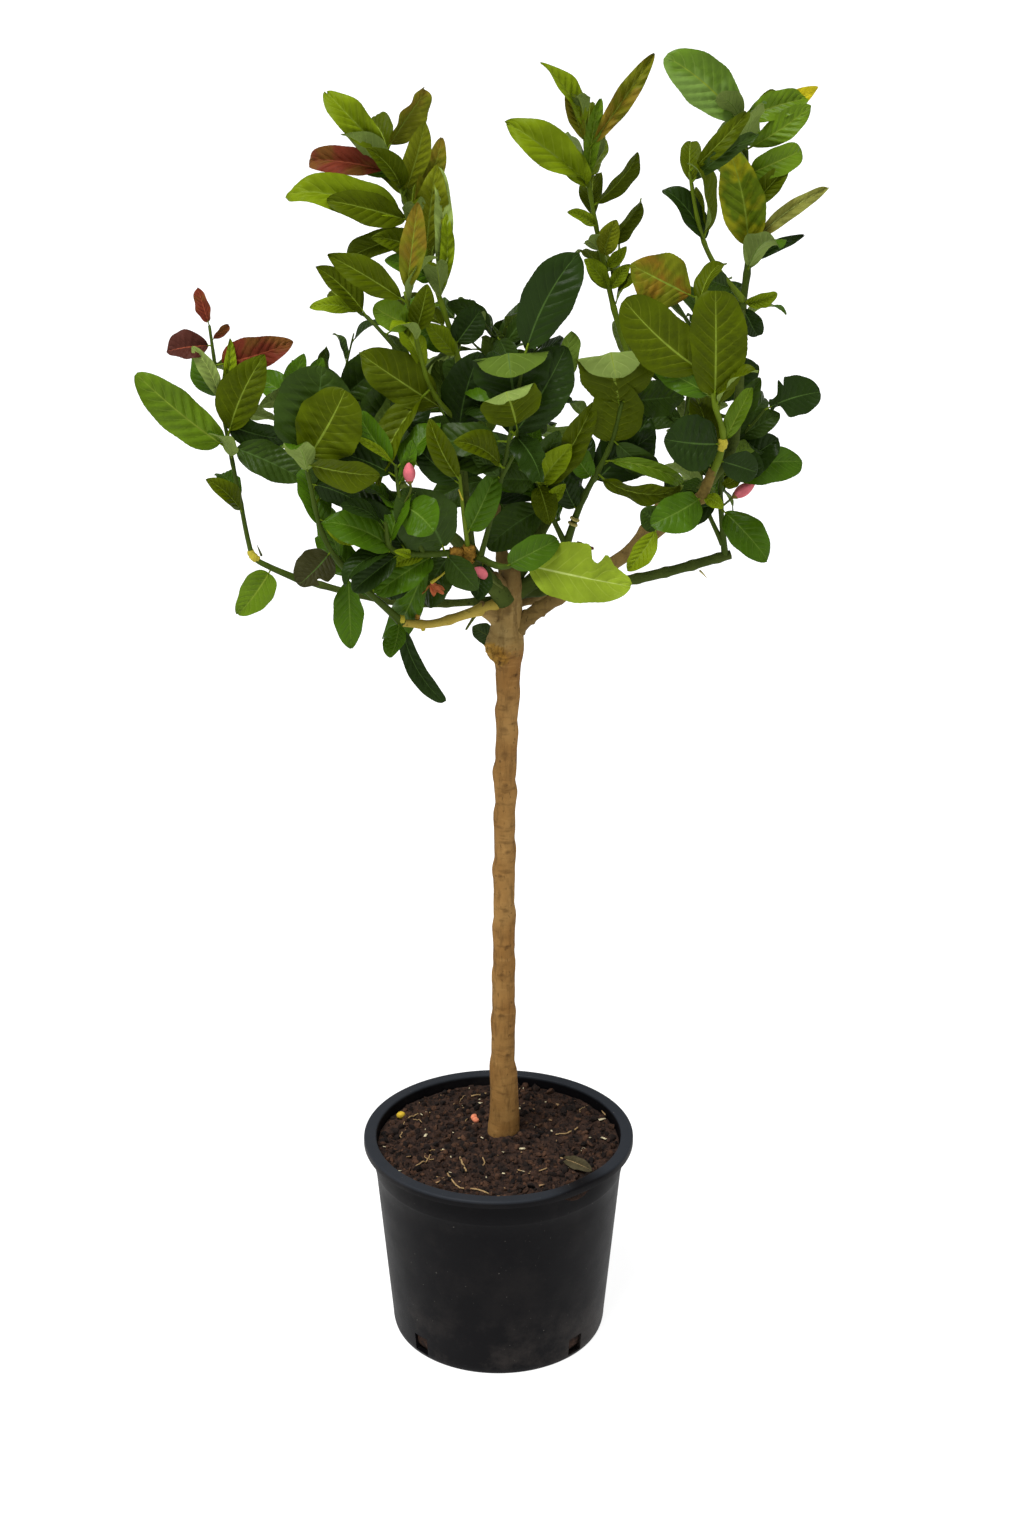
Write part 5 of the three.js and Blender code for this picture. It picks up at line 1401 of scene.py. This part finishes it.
def make_crumbs(shades):
    random = np.random.default_rng(SEEDS["crumbs"])
    lump, faces = lump_shape()
    crumbs = Batch()
    for _ in range(CRUMBS["count"]):
        x, y = spot_on_soil(random, CRUMBS["reach"])
        size = CRUMBS["size"][0] + CRUMBS["size"][1] * random.uniform(0, 1) ** 4
        turn = unit(random.normal(size=3))
        basis = np.linalg.qr(np.stack([turn, random.normal(size=3), random.normal(size=3)]))[0]
        shape = lump * random.uniform(0.7, 1.25, (len(lump), 1))
        shape = shape * [1, random.uniform(0.6, 1), random.uniform(0.5, 0.9)]
        place = over_soil(x, y, size * 0.2)
        crumbs.add(place + shape @ basis * size, [faces], [int(random.integers(0, len(shades)))])
    piece = crumbs.build("soil_crumbs", shades, CRUMBS["sharp_angle"])
    finish_piece(piece)


# The shades of the litter: colour, roughness, mottling and its scale
LITTER_SHADES = dict(
    chip_pale=((196, 184, 150), 0.8, 0.2, 300.0), chip_tan=((140, 112, 80), 0.85, 0.25, 300.0),
    straw=((150, 124, 86), 0.8, 0.25, 300.0), fallen_bud=((190, 160, 50), 0.6, 0.2, 300.0),
    fallen_flower=((206, 124, 92), 0.6, 0.2, 300.0), dead_leaf=((64, 58, 40), 0.7, 0.25, 200.0),
)
# What lies on the soil in the photograph. Chips: place, heading, length, width and the number of its shade.
CHIPS = [
    (110, 46, 20, 8, 4, 0), (110, 6, -40, 7, 4, 0), (4, -30, 60, 6, 3.5, 0), (25, -20, 10, 7, 3, 0),
    (-60, -86, 30, 6, 3, 1), (-92, -34, -20, 6, 3, 1), (-76, 8, 70, 5, 3, 0), (44, -92, 15, 6, 3, 1),
    (62, 74, -30, 6, 3, 1), (-20, 84, 10, 5, 3, 0), (88, -20, 50, 5, 2.5, 0), (-44, 62, 80, 5, 2.5, 1),
]
# Straws: the places each passes over, and its radius
STRAWS = [
    ([(-51, -70), (-44, -86), (-30, -98), (-9, -110)], 0.9), ([(-39, -38), (-36, -52), (-32, -66)], 1.0),
    ([(103, 90), (108, 72), (114, 52)], 0.7), ([(20, -60), (34, -66), (50, -62)], 0.6),
    ([(-84, -52), (-74, -44), (-70, -30)], 0.6), ([(60, 10), (74, 16), (84, 30)], 0.7),
    ([(-30, 96), (-12, 102), (6, 98)], 0.8), ([(-100, 30), (-96, 44), (-84, 56)], 0.6),
]
# Fallen buds: place, heading, length, radius and the number of its shade
FALLEN = [(-108, 48, 20, 9, 4, 3), (-28, 42, 60, 8, 3.4, 4), (-21, 38, 150, 8, 3.2, 4)]
# The dead leaf: where its root and its tip lie, with their height above the soil
DEAD_LEAF = [(64, -41, 3), (94, -68, 4)]
# How far above the soil's own height a chip and a straw lie, and half a chip's thickness
CHIP_LIFT = 2.2
STRAW_LIFT = 1.6
CHIP_HALF = 0.4


def over_soil(x, y, height):
    return np.array([x, y, soil_height(x, y) + height])


def chip_corners(random, x, y, heading, long, wide):
    """The corners of a chip of wood, tilted and a little uneven."""
    along, aside = compass(heading, random.uniform(-14, 14)), compass(heading + 90, random.uniform(-22, 22))
    corners = []
    for end in (-1, 1):
        for edge in (-1, 1):
            for face in (-1, 1):
                corner = over_soil(x, y, CHIP_LIFT) + along * end * long / 2 * random.uniform(0.7, 1)
                corner = corner + aside * edge * wide / 2 * random.uniform(0.7, 1)
                corners.append(corner + UP * face * CHIP_HALF)
    return corners


def make_litter():
    """Chips, straws, fallen buds and a dead leaf on the soil."""
    random = np.random.default_rng(SEEDS["litter"])
    number = {name: place for place, name in enumerate(LITTER_SHADES)}
    litter = Batch()
    chips = list(CHIPS)
    for _ in range(LOOSE_CHIPS["count"]):
        x, y = spot_on_soil(random, LOOSE_CHIPS["reach"])
        chips.append((x, y, random.uniform(0, 360), random.uniform(1.6, 4.2), random.uniform(0.8, 1.8),
                      int(random.integers(0, 2))))
    for *chip, shade in chips:
        litter.add(chip_corners(random, *chip), [BOX_FACES], [shade])
    straws = list(STRAWS)
    for _ in range(LOOSE_STRAWS["count"]):
        x, y = spot_on_soil(random, LOOSE_STRAWS["reach"])
        heading, long = random.uniform(0, 360), random.uniform(8, 20)
        middle = compass(heading, 0) * long / 2
        end = compass(heading + random.uniform(-30, 30), 0) * long
        places = [(x, y), (x + middle[0], y + middle[1]), (x + end[0], y + end[1])]
        straws.append((places, random.uniform(0.3, 0.6)))
    for places, radius in straws:
        curve = Curve([over_soil(x, y, 0) for x, y in places])
        line = [over_soil(*curve.at(s)[:2], STRAW_LIFT + radius) for s in np.linspace(0, 1, 13)]
        tube(litter, line, np.full(len(line), radius), 6, number["straw"])
    for x, y, heading, long, radius, shade in FALLEN:
        swell = radius * np.sin(np.pi * np.linspace(0.08, 0.95, 9)) ** 0.6
        start = over_soil(x, y, radius)
        line = [start + compass(heading, 5) * long * share for share in np.linspace(0, 1, 9)]
        tube(litter, line, swell, 10, shade)
    root, tip = (over_soil(*place) for place in DEAD_LEAF)
    dead = dict(root=root, tangent=UP, chord=unit(tip - root), length=42, turn=40, width=0.36, droop=0.03)
    slots = dict.fromkeys(("upper", "under"), number["dead_leaf"])
    slots |= dict.fromkeys(("rib", "stalk"), number["straw"])
    grow_leaf(litter, dead, leaf_shape(random, "dark", "folded"), slots)
    materials = [plain_material(name, *look) for name, look in LITTER_SHADES.items()]
    piece = litter.build("soil_litter", materials)
    finish_piece(piece)


# Trunk and boughs

# Old bud ledges on the trunk: height, heading and how far each stands out
LEDGES = [
    (681, 186, 1.8), (617, 182, 2.0), (571, 180, 1.7), (513, 184, 1.8), (447, 176, 1.4), (394, 184, 1.3),
    (341, 180, 1.3), (290, 188, 1.2), (698, 2, 1.1), (659, -4, 1.2), (596, 0, 2.0), (534, 5, 1.3),
    (462, -2, 1.4), (408, 3, 1.2), (350, -3, 1.3), (283, 0, 1.2), (610, -96, 1.0), (480, -110, 1.0),
    (425, -75, 1.0), (365, -95, 1.0), (670, 95, 1.4), (610, 80, 1.4), (555, 100, 1.4), (495, 88, 1.3),
    (430, 92, 1.2), (375, 84, 1.2), (300, 96, 1.1),
]
# A ledge's half height above and below, its half angle, and the groove over it: share, rise, half height
# and half angle. Past its reach nothing is left of it.
LEDGE = dict(above=8, below=14, half_angle=46, groove=0.35, groove_rise=12, groove_half=5, groove_angle=30,
             reach=36)
# Scars that face the front: height, heading, and half its width and height in millimetres
SCARS = [
    (697, -76, 3.4, 2.0), (664, -104, 3.0, 2.4), (637, -98, 3.6, 3.2), (561, -124, 4.2, 1.0),
    (534, -72, 2.6, 1.6), (470, -80, 2.4, 1.6), (398, -100, 2.6, 1.8), (720, -60, 2.8, 1.4),
    (777, -140, 3.4, 3.0), (785, -94, 2.4, 4.0), (733, -112, 3.2, 2.0), (606, -88, 2.4, 1.8),
    (508, -112, 2.2, 1.6), (430, -74, 2.0, 1.6), (352, -96, 2.4, 1.6), (306, -70, 2.2, 1.6),
]
# Where the scion was grafted the bark swells: height, heading, how far out, half height and half angle
CALLUS = [(748, 200, 3.5, 8, 40), (741, -120, 2.6, 6, 35), (752, -60, 1.2, 7, 40), (738, 150, 2.0, 5, 30),
          (737, 215, 2.4, 4, 22), (744, 246, 1.8, 3, 14), (733, 232, 1.6, 3, 16)]
# How far its crust reaches: height, heading, half height and half angle
CRUST = (741, 222, 14, 66)
# Shoulders from which the boughs part: the places each passes and its radii
SHOULDERS = [
    ([(9, 1, 762), (-2, -3, 777), (-17, -8, 787.5)], (10.5, 6.2)),
    ([(12, 1, 770), (6, -2, 800), (-4, -14, 818)], (9.5, 7.0)),
]
# The first ring, sunk into the soil, the height where the cut's edge rounds off, and the cut itself
TRUNK_START = 204
TRUNK_EDGE = 822
TRUNK_TOP = 825.5
TRUNK_STEP = 2.0
TRUNK_SIDES = 72
# Half the height over which the trunk's rings are evened out
TRUNK_EASE = 7.0
ROOT_FLARE_TOP = 240
# The trunk's mean radius, for the width of a scar's colour
MARK_RADIUS = 11
# Along a limb: the distance over which its foot flares, and the size and half length of a knot's swelling
FLARE_LENGTH = 14
KNOT_SWELL = 0.2
KNOT_HALF = 4.5
# A bough's knots: how far the first is from its foot and the last from its tip, and their spacing
BOUGH_KNOTS = dict(foot=24, tip=8, every=31)


def along_trunk(height):
    """Radius and middle of the trunk at a height."""
    rings = np.array(TRUNK_RINGS, float)
    share = np.array([0.25, 0.5, 0.25])
    heights = height + np.array([-TRUNK_EASE, 0.0, TRUNK_EASE])
    radius = float((np.interp(heights, rings[:, 0], rings[:, 1]) * share).sum())
    lean = float((np.interp(heights, rings[:, 0], rings[:, 2]) * share).sum())
    risen = min(max((height - SOIL["level"]) / (UPRIGHT - SOIL["level"]), 0), 1)
    return radius, np.array([TRUNK_FOOT[0] + lean, TRUNK_FOOT[1] * (1 - risen), height])


def trunk_relief(height, angle, radius):
    """How far the bark stands out at a height and a heading, in millimetres."""
    x, y = radius * math.cos(angle), radius * math.sin(angle)
    out = 0.8 * noise.noise(Vector((x * 0.10, y * 0.10, height * 0.020)))
    out += 0.4 * noise.fractal(Vector((x * 0.35, y * 0.35, height * 0.05)), 0.9, 2.0, 4)
    heading = math.degrees(angle)
    for level, at, size in LEDGES:
        rise = height - level
        if abs(rise) < LEDGE["reach"]:
            off = off_heading(heading, at)
            half = LEDGE["above"] if rise > 0 else LEDGE["below"]
            out += size * bell(rise / half) * bell(off / LEDGE["half_angle"])
            groove = bell((rise - LEDGE["groove_rise"]) / LEDGE["groove_half"])
            out -= LEDGE["groove"] * size * groove * bell(off / LEDGE["groove_angle"])
    for level, at, wide, tall in SCARS:
        off = math.radians(off_heading(heading, at)) * radius
        reach = (off / wide) ** 2 + ((height - level) / tall) ** 2
        if reach < 9:
            out += 0.9 * math.exp(-(math.sqrt(reach) - 1.3) ** 2 * 3) - 0.7 * math.exp(-reach * 1.6)
    for level, at, size, tall, wide in CALLUS:
        rise = height - level
        if abs(rise) < 30:
            swell = bell(rise / tall) * bell(off_heading(heading, at) / wide)
            warts = 1 + 1.3 * noise.fractal(Vector((x * 0.3, y * 0.3, height * 0.3)), 0.8, 2.1, 3)
            out += size * swell * warts
    if height < ROOT_FLARE_TOP:
        out += 1.0 * math.cos(3 * angle + 0.6) * (min(ROOT_FLARE_TOP - height, 30) / 30) ** 2
    return out


def trunk_marks(heights, angles):
    """How strongly each place is scarred, and how far it is within the callus."""
    marks = np.zeros((len(heights), len(angles), 2))
    for level, at, wide, tall in SCARS:
        off = np.radians(off_heading(np.degrees(angles), at)) * MARK_RADIUS
        reach = (off[None, :] / wide) ** 2 + ((heights[:, None] - level) / tall) ** 2
        marks[..., 0] = np.maximum(marks[..., 0], np.exp(-reach * 0.38))
    level, at, tall, wide = CRUST
    off = off_heading(np.degrees(angles), at)
    marks[..., 1] = np.exp(-((heights[:, None] - level) / tall) ** 2) * np.exp(-(off[None, :] / wide) ** 2)
    ends = np.zeros((2, 2))
    return np.concatenate([marks.reshape(-1, 2), ends])


def make_trunk():
    heights = np.append(np.arange(TRUNK_START, TRUNK_TOP, TRUNK_STEP), TRUNK_TOP)
    angles = ring_angles(TRUNK_SIDES)
    rows = []
    for height in heights:
        radius, middle = along_trunk(height)
        radius -= max(height - TRUNK_EDGE, 0) * 0.6
        rows.append([middle + (radius + trunk_relief(height, a, radius))
                     * np.array([math.cos(a), math.sin(a), 0]) for a in angles])
    ends = [along_trunk(heights[0])[1], along_trunk(TRUNK_TOP)[1] - UP * 0.8]
    vertices, faces = closed_rows(rows, ends)
    batch = Batch()
    batch.add(vertices, faces, [0, 0], trunk_marks(heights, angles))
    for path, radii in SHOULDERS:
        limb(batch, path, radii, sides=28, step=2.0, slot=0, relief=0.05)
    piece = batch.build("trunk_bark", [trunk_material()])
    finish_piece(piece, ["trunk"])


def limb(batch, path, radii, sides, step, slot, flare=0.0, knots=(), relief=0.0, overrun=0.0):
    """A limb of the crown: its radius tapers, swells at its knots and carries the bark's relief."""
    curve = Curve(path)
    length = curve.length()
    count = max(5, int(length / step))
    stations = np.linspace(0, 1, count)
    places = np.array([curve.at(s) for s in stations])
    radius = mix(*radii, stations)
    radius = radius * (1 + flare * np.exp(-stations * length / FLARE_LENGTH))
    for knot in knots:
        radius = radius * (1 + KNOT_SWELL * np.exp(-((stations - knot) * length / KNOT_HALF) ** 2))
    if overrun:
        places = np.concatenate([places, [places[-1] + curve.tangent(1) * overrun]])
        radius = np.append(radius, radius[-1])
    rows = np.repeat(radius[:, None], sides, axis=1)
    if relief:
        for i, place in enumerate(places):
            for j, angle in enumerate(ring_angles(sides)):
                spot = Vector(place * 0.05) + Vector((math.cos(angle), math.sin(angle), 0)) * 0.8
                rows[i, j] *= 1 + relief * noise.fractal(spot, 0.9, 2.0, 2)
    tube(batch, places, rows, sides, slot)


# How strong each bark's relief is
BARK_RELIEF = dict(green=0.07, straw=0.04, brown=0.07)
# The boughs' barks: base, deep and pale shade, and how fissured it is
BARKS = dict(green=((56, 68, 24), (34, 44, 16), (74, 86, 34), 0.4),
             straw=((158, 138, 58), (116, 96, 38), (178, 158, 78), 0.35),
             brown=((100, 80, 42), (60, 46, 24), (120, 100, 58), 0.7))


def make_boughs():
    batch = Batch()
    for row in BOUGHS:
        length = Curve(row["path"]).length()
        knots = np.arange(BOUGH_KNOTS["foot"], length - BOUGH_KNOTS["tip"], BOUGH_KNOTS["every"]) / length
        limb(batch, row["path"], row["radii"], sides=20, step=2.0, slot=list(BARKS).index(row["bark"]),
             flare=row["flare"], knots=knots, relief=BARK_RELIEF[row["bark"]], overrun=2.5)
    materials = [bark_material(name + "_bark", *look) for name, look in BARKS.items()]
    piece = batch.build("boughs_bark", materials)
    finish_piece(piece, [row["name"] for row in BOUGHS])


# Twigs, leaves and blossom

# The share of the dark leaves, drawn at random, that take the deep tint: a darker copy of the dark one,
# painted shade
SHADED_LEAF_SHARE = 0.5


def make_foliage():
    materials, numbers = leaf_materials()
    twigs = Batch()
    for entry in grow_crown():
        name = entry["mass"]["name"]
        random = np.random.default_rng(entry["mass"]["seed"])
        batch = Batch()
        for leaf in entry["leaves"]:
            tint = leaf["tint"]
            # Painted shade: some dark leaves take the darker deep tint
            if tint == "dark" and random.uniform() < SHADED_LEAF_SHARE:
                tint = "deep"
            shape = leaf_shape(random, tint, leaf["form"])
            under = "under_" + UNDER_OF.get(tint, "fresh")
            slots = dict(upper=numbers[tint], under=numbers[under], rib=numbers[RIB_OF.get(tint, "rib")],
                         stalk=numbers["stalk"])
            grow_leaf(batch, leaf, shape, slots)
        piece = batch.build(name.replace("leaves", "foliage"), materials)
        finish_piece(piece, [name])
        for shoot in entry["shoots"]:
            leaves, start = shoot["leaves"], shoot["start"]
            knots = [start + (1 - start) * (index + 0.5) / leaves for index in range(leaves)]
            limb(twigs, shoot["path"], shoot["radii"], sides=8, step=4.0, slot=int(shoot["tint"] in YOUNG),
                 flare=0.35, knots=knots)
    piece = twigs.build("twigs", [
        plain_material("twig_green", (58, 74, 18), 0.55, 0.25, 90.0, stretch=(1.0, 1.0, 0.2)),
        plain_material("twig_fresh", (88, 106, 20), 0.55, 0.22, 90.0, stretch=(1.0, 1.0, 0.2)),
    ])
    finish_piece(piece)


# The shades of the small growth: colour, roughness, mottling and its scale
GROWTH_SHADES = dict(
    bud_pink=((196, 100, 108), 0.45, 0.2, 140.0), bud_cup=((104, 84, 34), 0.5, 0.3, 200.0),
    spur_green=((72, 82, 28), 0.6, 0.25, 200.0), node_crust=((140, 104, 38), 0.8, 0.45, 260.0),
    pale_bark=((176, 164, 96), 0.7, 0.2, 200.0), yellow_bark=((170, 158, 52), 0.6, 0.2, 200.0),
    brown_foot=((104, 88, 42), 0.8, 0.3, 200.0), dried_stalk=((84, 36, 30), 0.6, 0.3, 260.0),
    petal_orange=((186, 104, 66), 0.6, 0.25, 200.0), petal_brown=((112, 74, 26), 0.6, 0.35, 200.0),
)
# Pink buds: the places its stalk passes, the foot and the tip of its petals, and its radius
BUDS = [
    ([(-84.3, -80, 901.5), (-76.6, -86, 916.6), (-77.3, -88, 925.3)], (-77.8, -90, 943), 5.6),
    ([(5.5, -22, 809.6), (0, -34, 816.7), (-6.4, -46, 825.7)], (-20.2, -50, 836.2), 5.4),
    ([(217, 50, 871.7), (222.2, 46, 877.6), (227.4, 42, 883.3)], (245.4, 36, 897.3), 6.0),
]
# Knobs and thorns: the places it passes, its radii along them, how rough it is, and its shade
KNOBS = [
    ([(-25.9, -43, 839), (-25.8, -45, 847.3), (-25.9, -47, 857)], (4.6, 6.4, 5.6), 0.5, "node_crust"),
    ([(-33, -46, 850), (-38, -50, 852), (-43, -53, 853)], (4.0, 4.4, 3.4), 0.5, "node_crust"),
    ([(71.5, 11, 862.5), (72.3, 10.8, 864.5)], (5.0, 5.0), 0.1, "pale_bark"),
    ([(73.2, 10.4, 867.5), (74, 10.1, 869.3)], (4.9, 4.9), 0.1, "pale_bark"),
    ([(-94.5, -40, 781.6), (-90.5, -39, 783.4), (-86.5, -38, 783)], (2.6, 5.0, 4.2), 0.15, "yellow_bark"),
    ([(-70, -26, 778), (-70, -28, 773), (-69, -29, 769.5)], (3.2, 2.6, 1.6), 0.2, "yellow_bark"),
    ([(-74.6, -29, 781), (-74.5, -29, 786.5)], (2.8, 1.8), 0.3, "node_crust"),
    ([(-13, -4, 786), (-17.4, -5, 782.2), (-23.1, -8, 775.4), (-29.8, -10, 765.1)],
     (2.4, 1.8, 1.5, 1.0), 0.1, "spur_green"),
    ([(75.7, 8, 835.9), (75.6, 5, 845.4)], (0.8, 1.0), 0.1, "dried_stalk"),
    ([(75.6, 5, 845.4), (79, 4.4, 845.8), (83.1, 4, 844.7), (91.7, 4, 840.8)],
     (2.6, 1.9, 1.0, 1.7), 0.3, "dried_stalk"),
    ([(-41.6, -50, 838), (-51.6, -55, 830), (-60.7, -60, 824.6)], (1.0, 0.9, 1.8), 0.1, "yellow_bark"),
    ([(-223.6, 8, 833), (-225.5, 5, 840), (-227.1, 2, 846)], (1.3, 0.8, 0.15), 0.0, "spur_green"),
    ([(-225, 1, 831), (-230, 0, 834), (-234, 0, 841)], (2.8, 4.2, 3.0), 0.25, "yellow_bark"),
    ([(197.3, 58, 806), (201, 54, 803), (204.8, 50, 799.4)], (1.1, 0.7, 0.12), 0.0, "pale_bark"),
    ([(-30.4, -68, 904), (-34, -72, 915)], (1.0, 0.5), 0.0, "yellow_bark"),
    ([(188, -25, 893), (194, -30, 910), (199, -35, 926)], (5.6, 4.9, 4.2), 0.12, "brown_foot"),
    ([(204, -42, 945), (206, -45, 951), (205, -48, 956)], (3.6, 4.5, 3.4), 0.3, "yellow_bark"),
]
# A knob's rings: how many sides, how far apart, and the share that the end ones are drawn in to
KNOB = dict(sides=14, step=0.8, ends=0.6)
# A bud's cup, ring by ring, for a bud of this radius, and how many ribs its petals make
BUD_CUP = (1.2, 2.4, 3.4, 3.8, 3.6)
BUD_RADIUS = 5.6
BUD_RIBS = 5
# Bracts round the crusty node: its middle, how far out they start, and the heading and rise of each
NODE = np.array([-25.9, -46, 852.0])
NODE_RADIUS = 4
BRACTS = [(20, 60), (75, 50), (130, 65), (180, 40), (230, 60), (275, 45), (320, 62), (200, 10), (160, 80)]
# The dried open flower: heading, rise, length and width of each petal, and its shade
PETALS = [(-165, -50, 13, 0.42, "petal_brown"), (-20, -35, 16, 0.5, "petal_orange"),
          (10, -28, 15, 0.46, "petal_orange"), (-60, -62, 13, 0.5, "petal_orange")]
FLOWER = np.array([-60.7, -60, 824.6])
# The root of the one small leaf behind the graft
SMALL_LEAF = np.array([2.0, 14.0, 746.0])


def grow_bud(batch, stalk, tip, radius, number):
    """A pink bud on its stalk, ribbed lengthwise, in a small cup."""
    curve = Curve(stalk)
    line = [curve.at(s) for s in np.linspace(0, 1, 9)]
    tube(batch, line, np.linspace(1.0, 1.3, 9), 8, number["spur_green"])
    foot, end = np.array(stalk[-1], float), np.array(tip, float)
    swell = radius * np.sin(np.pi * np.linspace(0.07, 0.975, 14) ** 0.9) ** 0.7
    ribs = 1 + 0.05 * np.cos(BUD_RIBS * ring_angles(20))
    line = [mix(foot, end, share) for share in np.linspace(0, 1, 14)]
    tube(batch, line, swell[:, None] * ribs[None, :], 20, number["bud_pink"])
    cup = np.array(BUD_CUP) * radius / BUD_RADIUS
    line = [mix(foot, end, share) for share in np.linspace(-0.12, 0.16, 5)]
    tube(batch, line, cup, 12, number["bud_cup"])


def grow_knob(batch, random, places, radii, rough, slot):
    """A rough knob, stub or thorn, drawn in at both ends."""
    curve = Curve(places)
    stations = np.linspace(0, 1, max(6, int(curve.length() / KNOB["step"])))
    sizes = np.interp(stations, np.linspace(0, 1, len(radii)), radii)
    rows = np.repeat(sizes[:, None], KNOB["sides"], axis=1)
    rows = rows * (1 + rough * random.uniform(-0.5, 0.5, rows.shape))
    rows[[0, -1]] *= KNOB["ends"]
    tube(batch, [curve.at(s) for s in stations], rows, KNOB["sides"], slot)


def make_small_growth():
    """Buds, knobs, thorns, a dried flower, and one leaf behind the graft."""
    materials = [plain_material(name, *look) for name, look in GROWTH_SHADES.items()]
    materials.append(leaf_material("leaf_small", *LEAF_TINTS["dark"]))
    number = {material.name: place for place, material in enumerate(materials)}
    random = np.random.default_rng(SEEDS["growth"])
    batch = Batch()
    for stalk, tip, radius in BUDS:
        grow_bud(batch, stalk, tip, radius, number)
    for places, radii, rough, shade in KNOBS:
        grow_knob(batch, random, places, radii, rough, number[shade])
    for heading, rise in BRACTS:
        foot = NODE + compass(heading, 0) * NODE_RADIUS
        end = foot + compass(heading, rise) * random.uniform(4, 6.5)
        tube(batch, [foot, mix(foot, end, 0.5), end], np.array([1.6, 1.2, 0.2]), 6, number["node_crust"])
    for heading, rise, length, width, shade in PETALS:
        petal = dict(root=FLOWER, tangent=UP, chord=compass(heading, rise), length=length, turn=20,
                     width=width, droop=0.03)
        slots = dict.fromkeys(("upper", "under", "rib", "stalk"), number[shade])
        grow_leaf(batch, petal, leaf_shape(random, "dark", "cupped"), slots)
    behind = dict(root=SMALL_LEAF, tangent=UP, chord=compass(170, 28), length=30, turn=-90, width=0.72,
                  droop=0.02)
    slots = dict.fromkeys(("upper", "under"), number["leaf_small"])
    slots |= dict.fromkeys(("rib", "stalk"), number["spur_green"])
    grow_leaf(batch, behind, leaf_shape(random, "dark", "flat"), slots)
    piece = batch.build("small_growth", materials)
    finish_piece(piece)


# Stage

FLOOR = 400.0
FLOOR_GREY = 0.3
FLOOR_GLOW = 0.88
WORLD_STRENGTH = 0.4
# Broad soft lights: name, heading and rise of where it comes from, strength and width in degrees
SUNS = [("key", -130, 62, 3.6, 34), ("fill", -50, 30, 0.4, 60)]


def make_stage():
    floor = link_new("floor", bpy.data.meshes.new("floor"))
    corners = [(-FLOOR, -FLOOR, 0), (FLOOR, -FLOOR, 0), (FLOOR, FLOOR, 0), (-FLOOR, FLOOR, 0)]
    floor.data.from_pydata(corners, [], [(0, 1, 2, 3)])
    m = Nodes("floor_pale")
    m.shade(Base_Color=(FLOOR_GREY, FLOOR_GREY, FLOOR_GREY, 1.0), Roughness=0.95, Specular_IOR_Level=0.1,
            Emission_Color=WHITE, Emission_Strength=FLOOR_GLOW)
    floor.data.materials.append(m.material)

    world = bpy.data.worlds.new("studio")
    world.use_nodes = True
    background = world.node_tree.nodes["Background"].inputs
    background["Color"].default_value = WHITE
    background["Strength"].default_value = WORLD_STRENGTH
    bpy.context.scene.world = world
    bpy.context.scene.view_settings.view_transform = "Standard"

    for name, heading, rise, strength, width in SUNS:
        light = bpy.data.lights.new(name, "SUN")
        light.energy = strength
        light.angle = math.radians(width)
        holder = link_new(name, light)
        holder.rotation_euler = Vector(-compass(heading, rise)).to_track_quat("-Z", "Y").to_euler()

    camera = bpy.data.cameras.new("camera")
    camera.lens = CAMERA["lens"]
    camera.sensor_width = CAMERA["sensor"]
    camera.sensor_fit = "AUTO"
    holder = link_new("camera", camera)
    holder.location = CAMERA["location"]
    holder.rotation_euler = (math.radians(90 - CAMERA["pitch_down"]), 0, 0)
    bpy.context.scene.camera = holder


make_stage()
make_pot()
make_soil()
make_trunk()
make_boughs()
make_foliage()
make_small_growth()

bpy.context.view_layer.update()
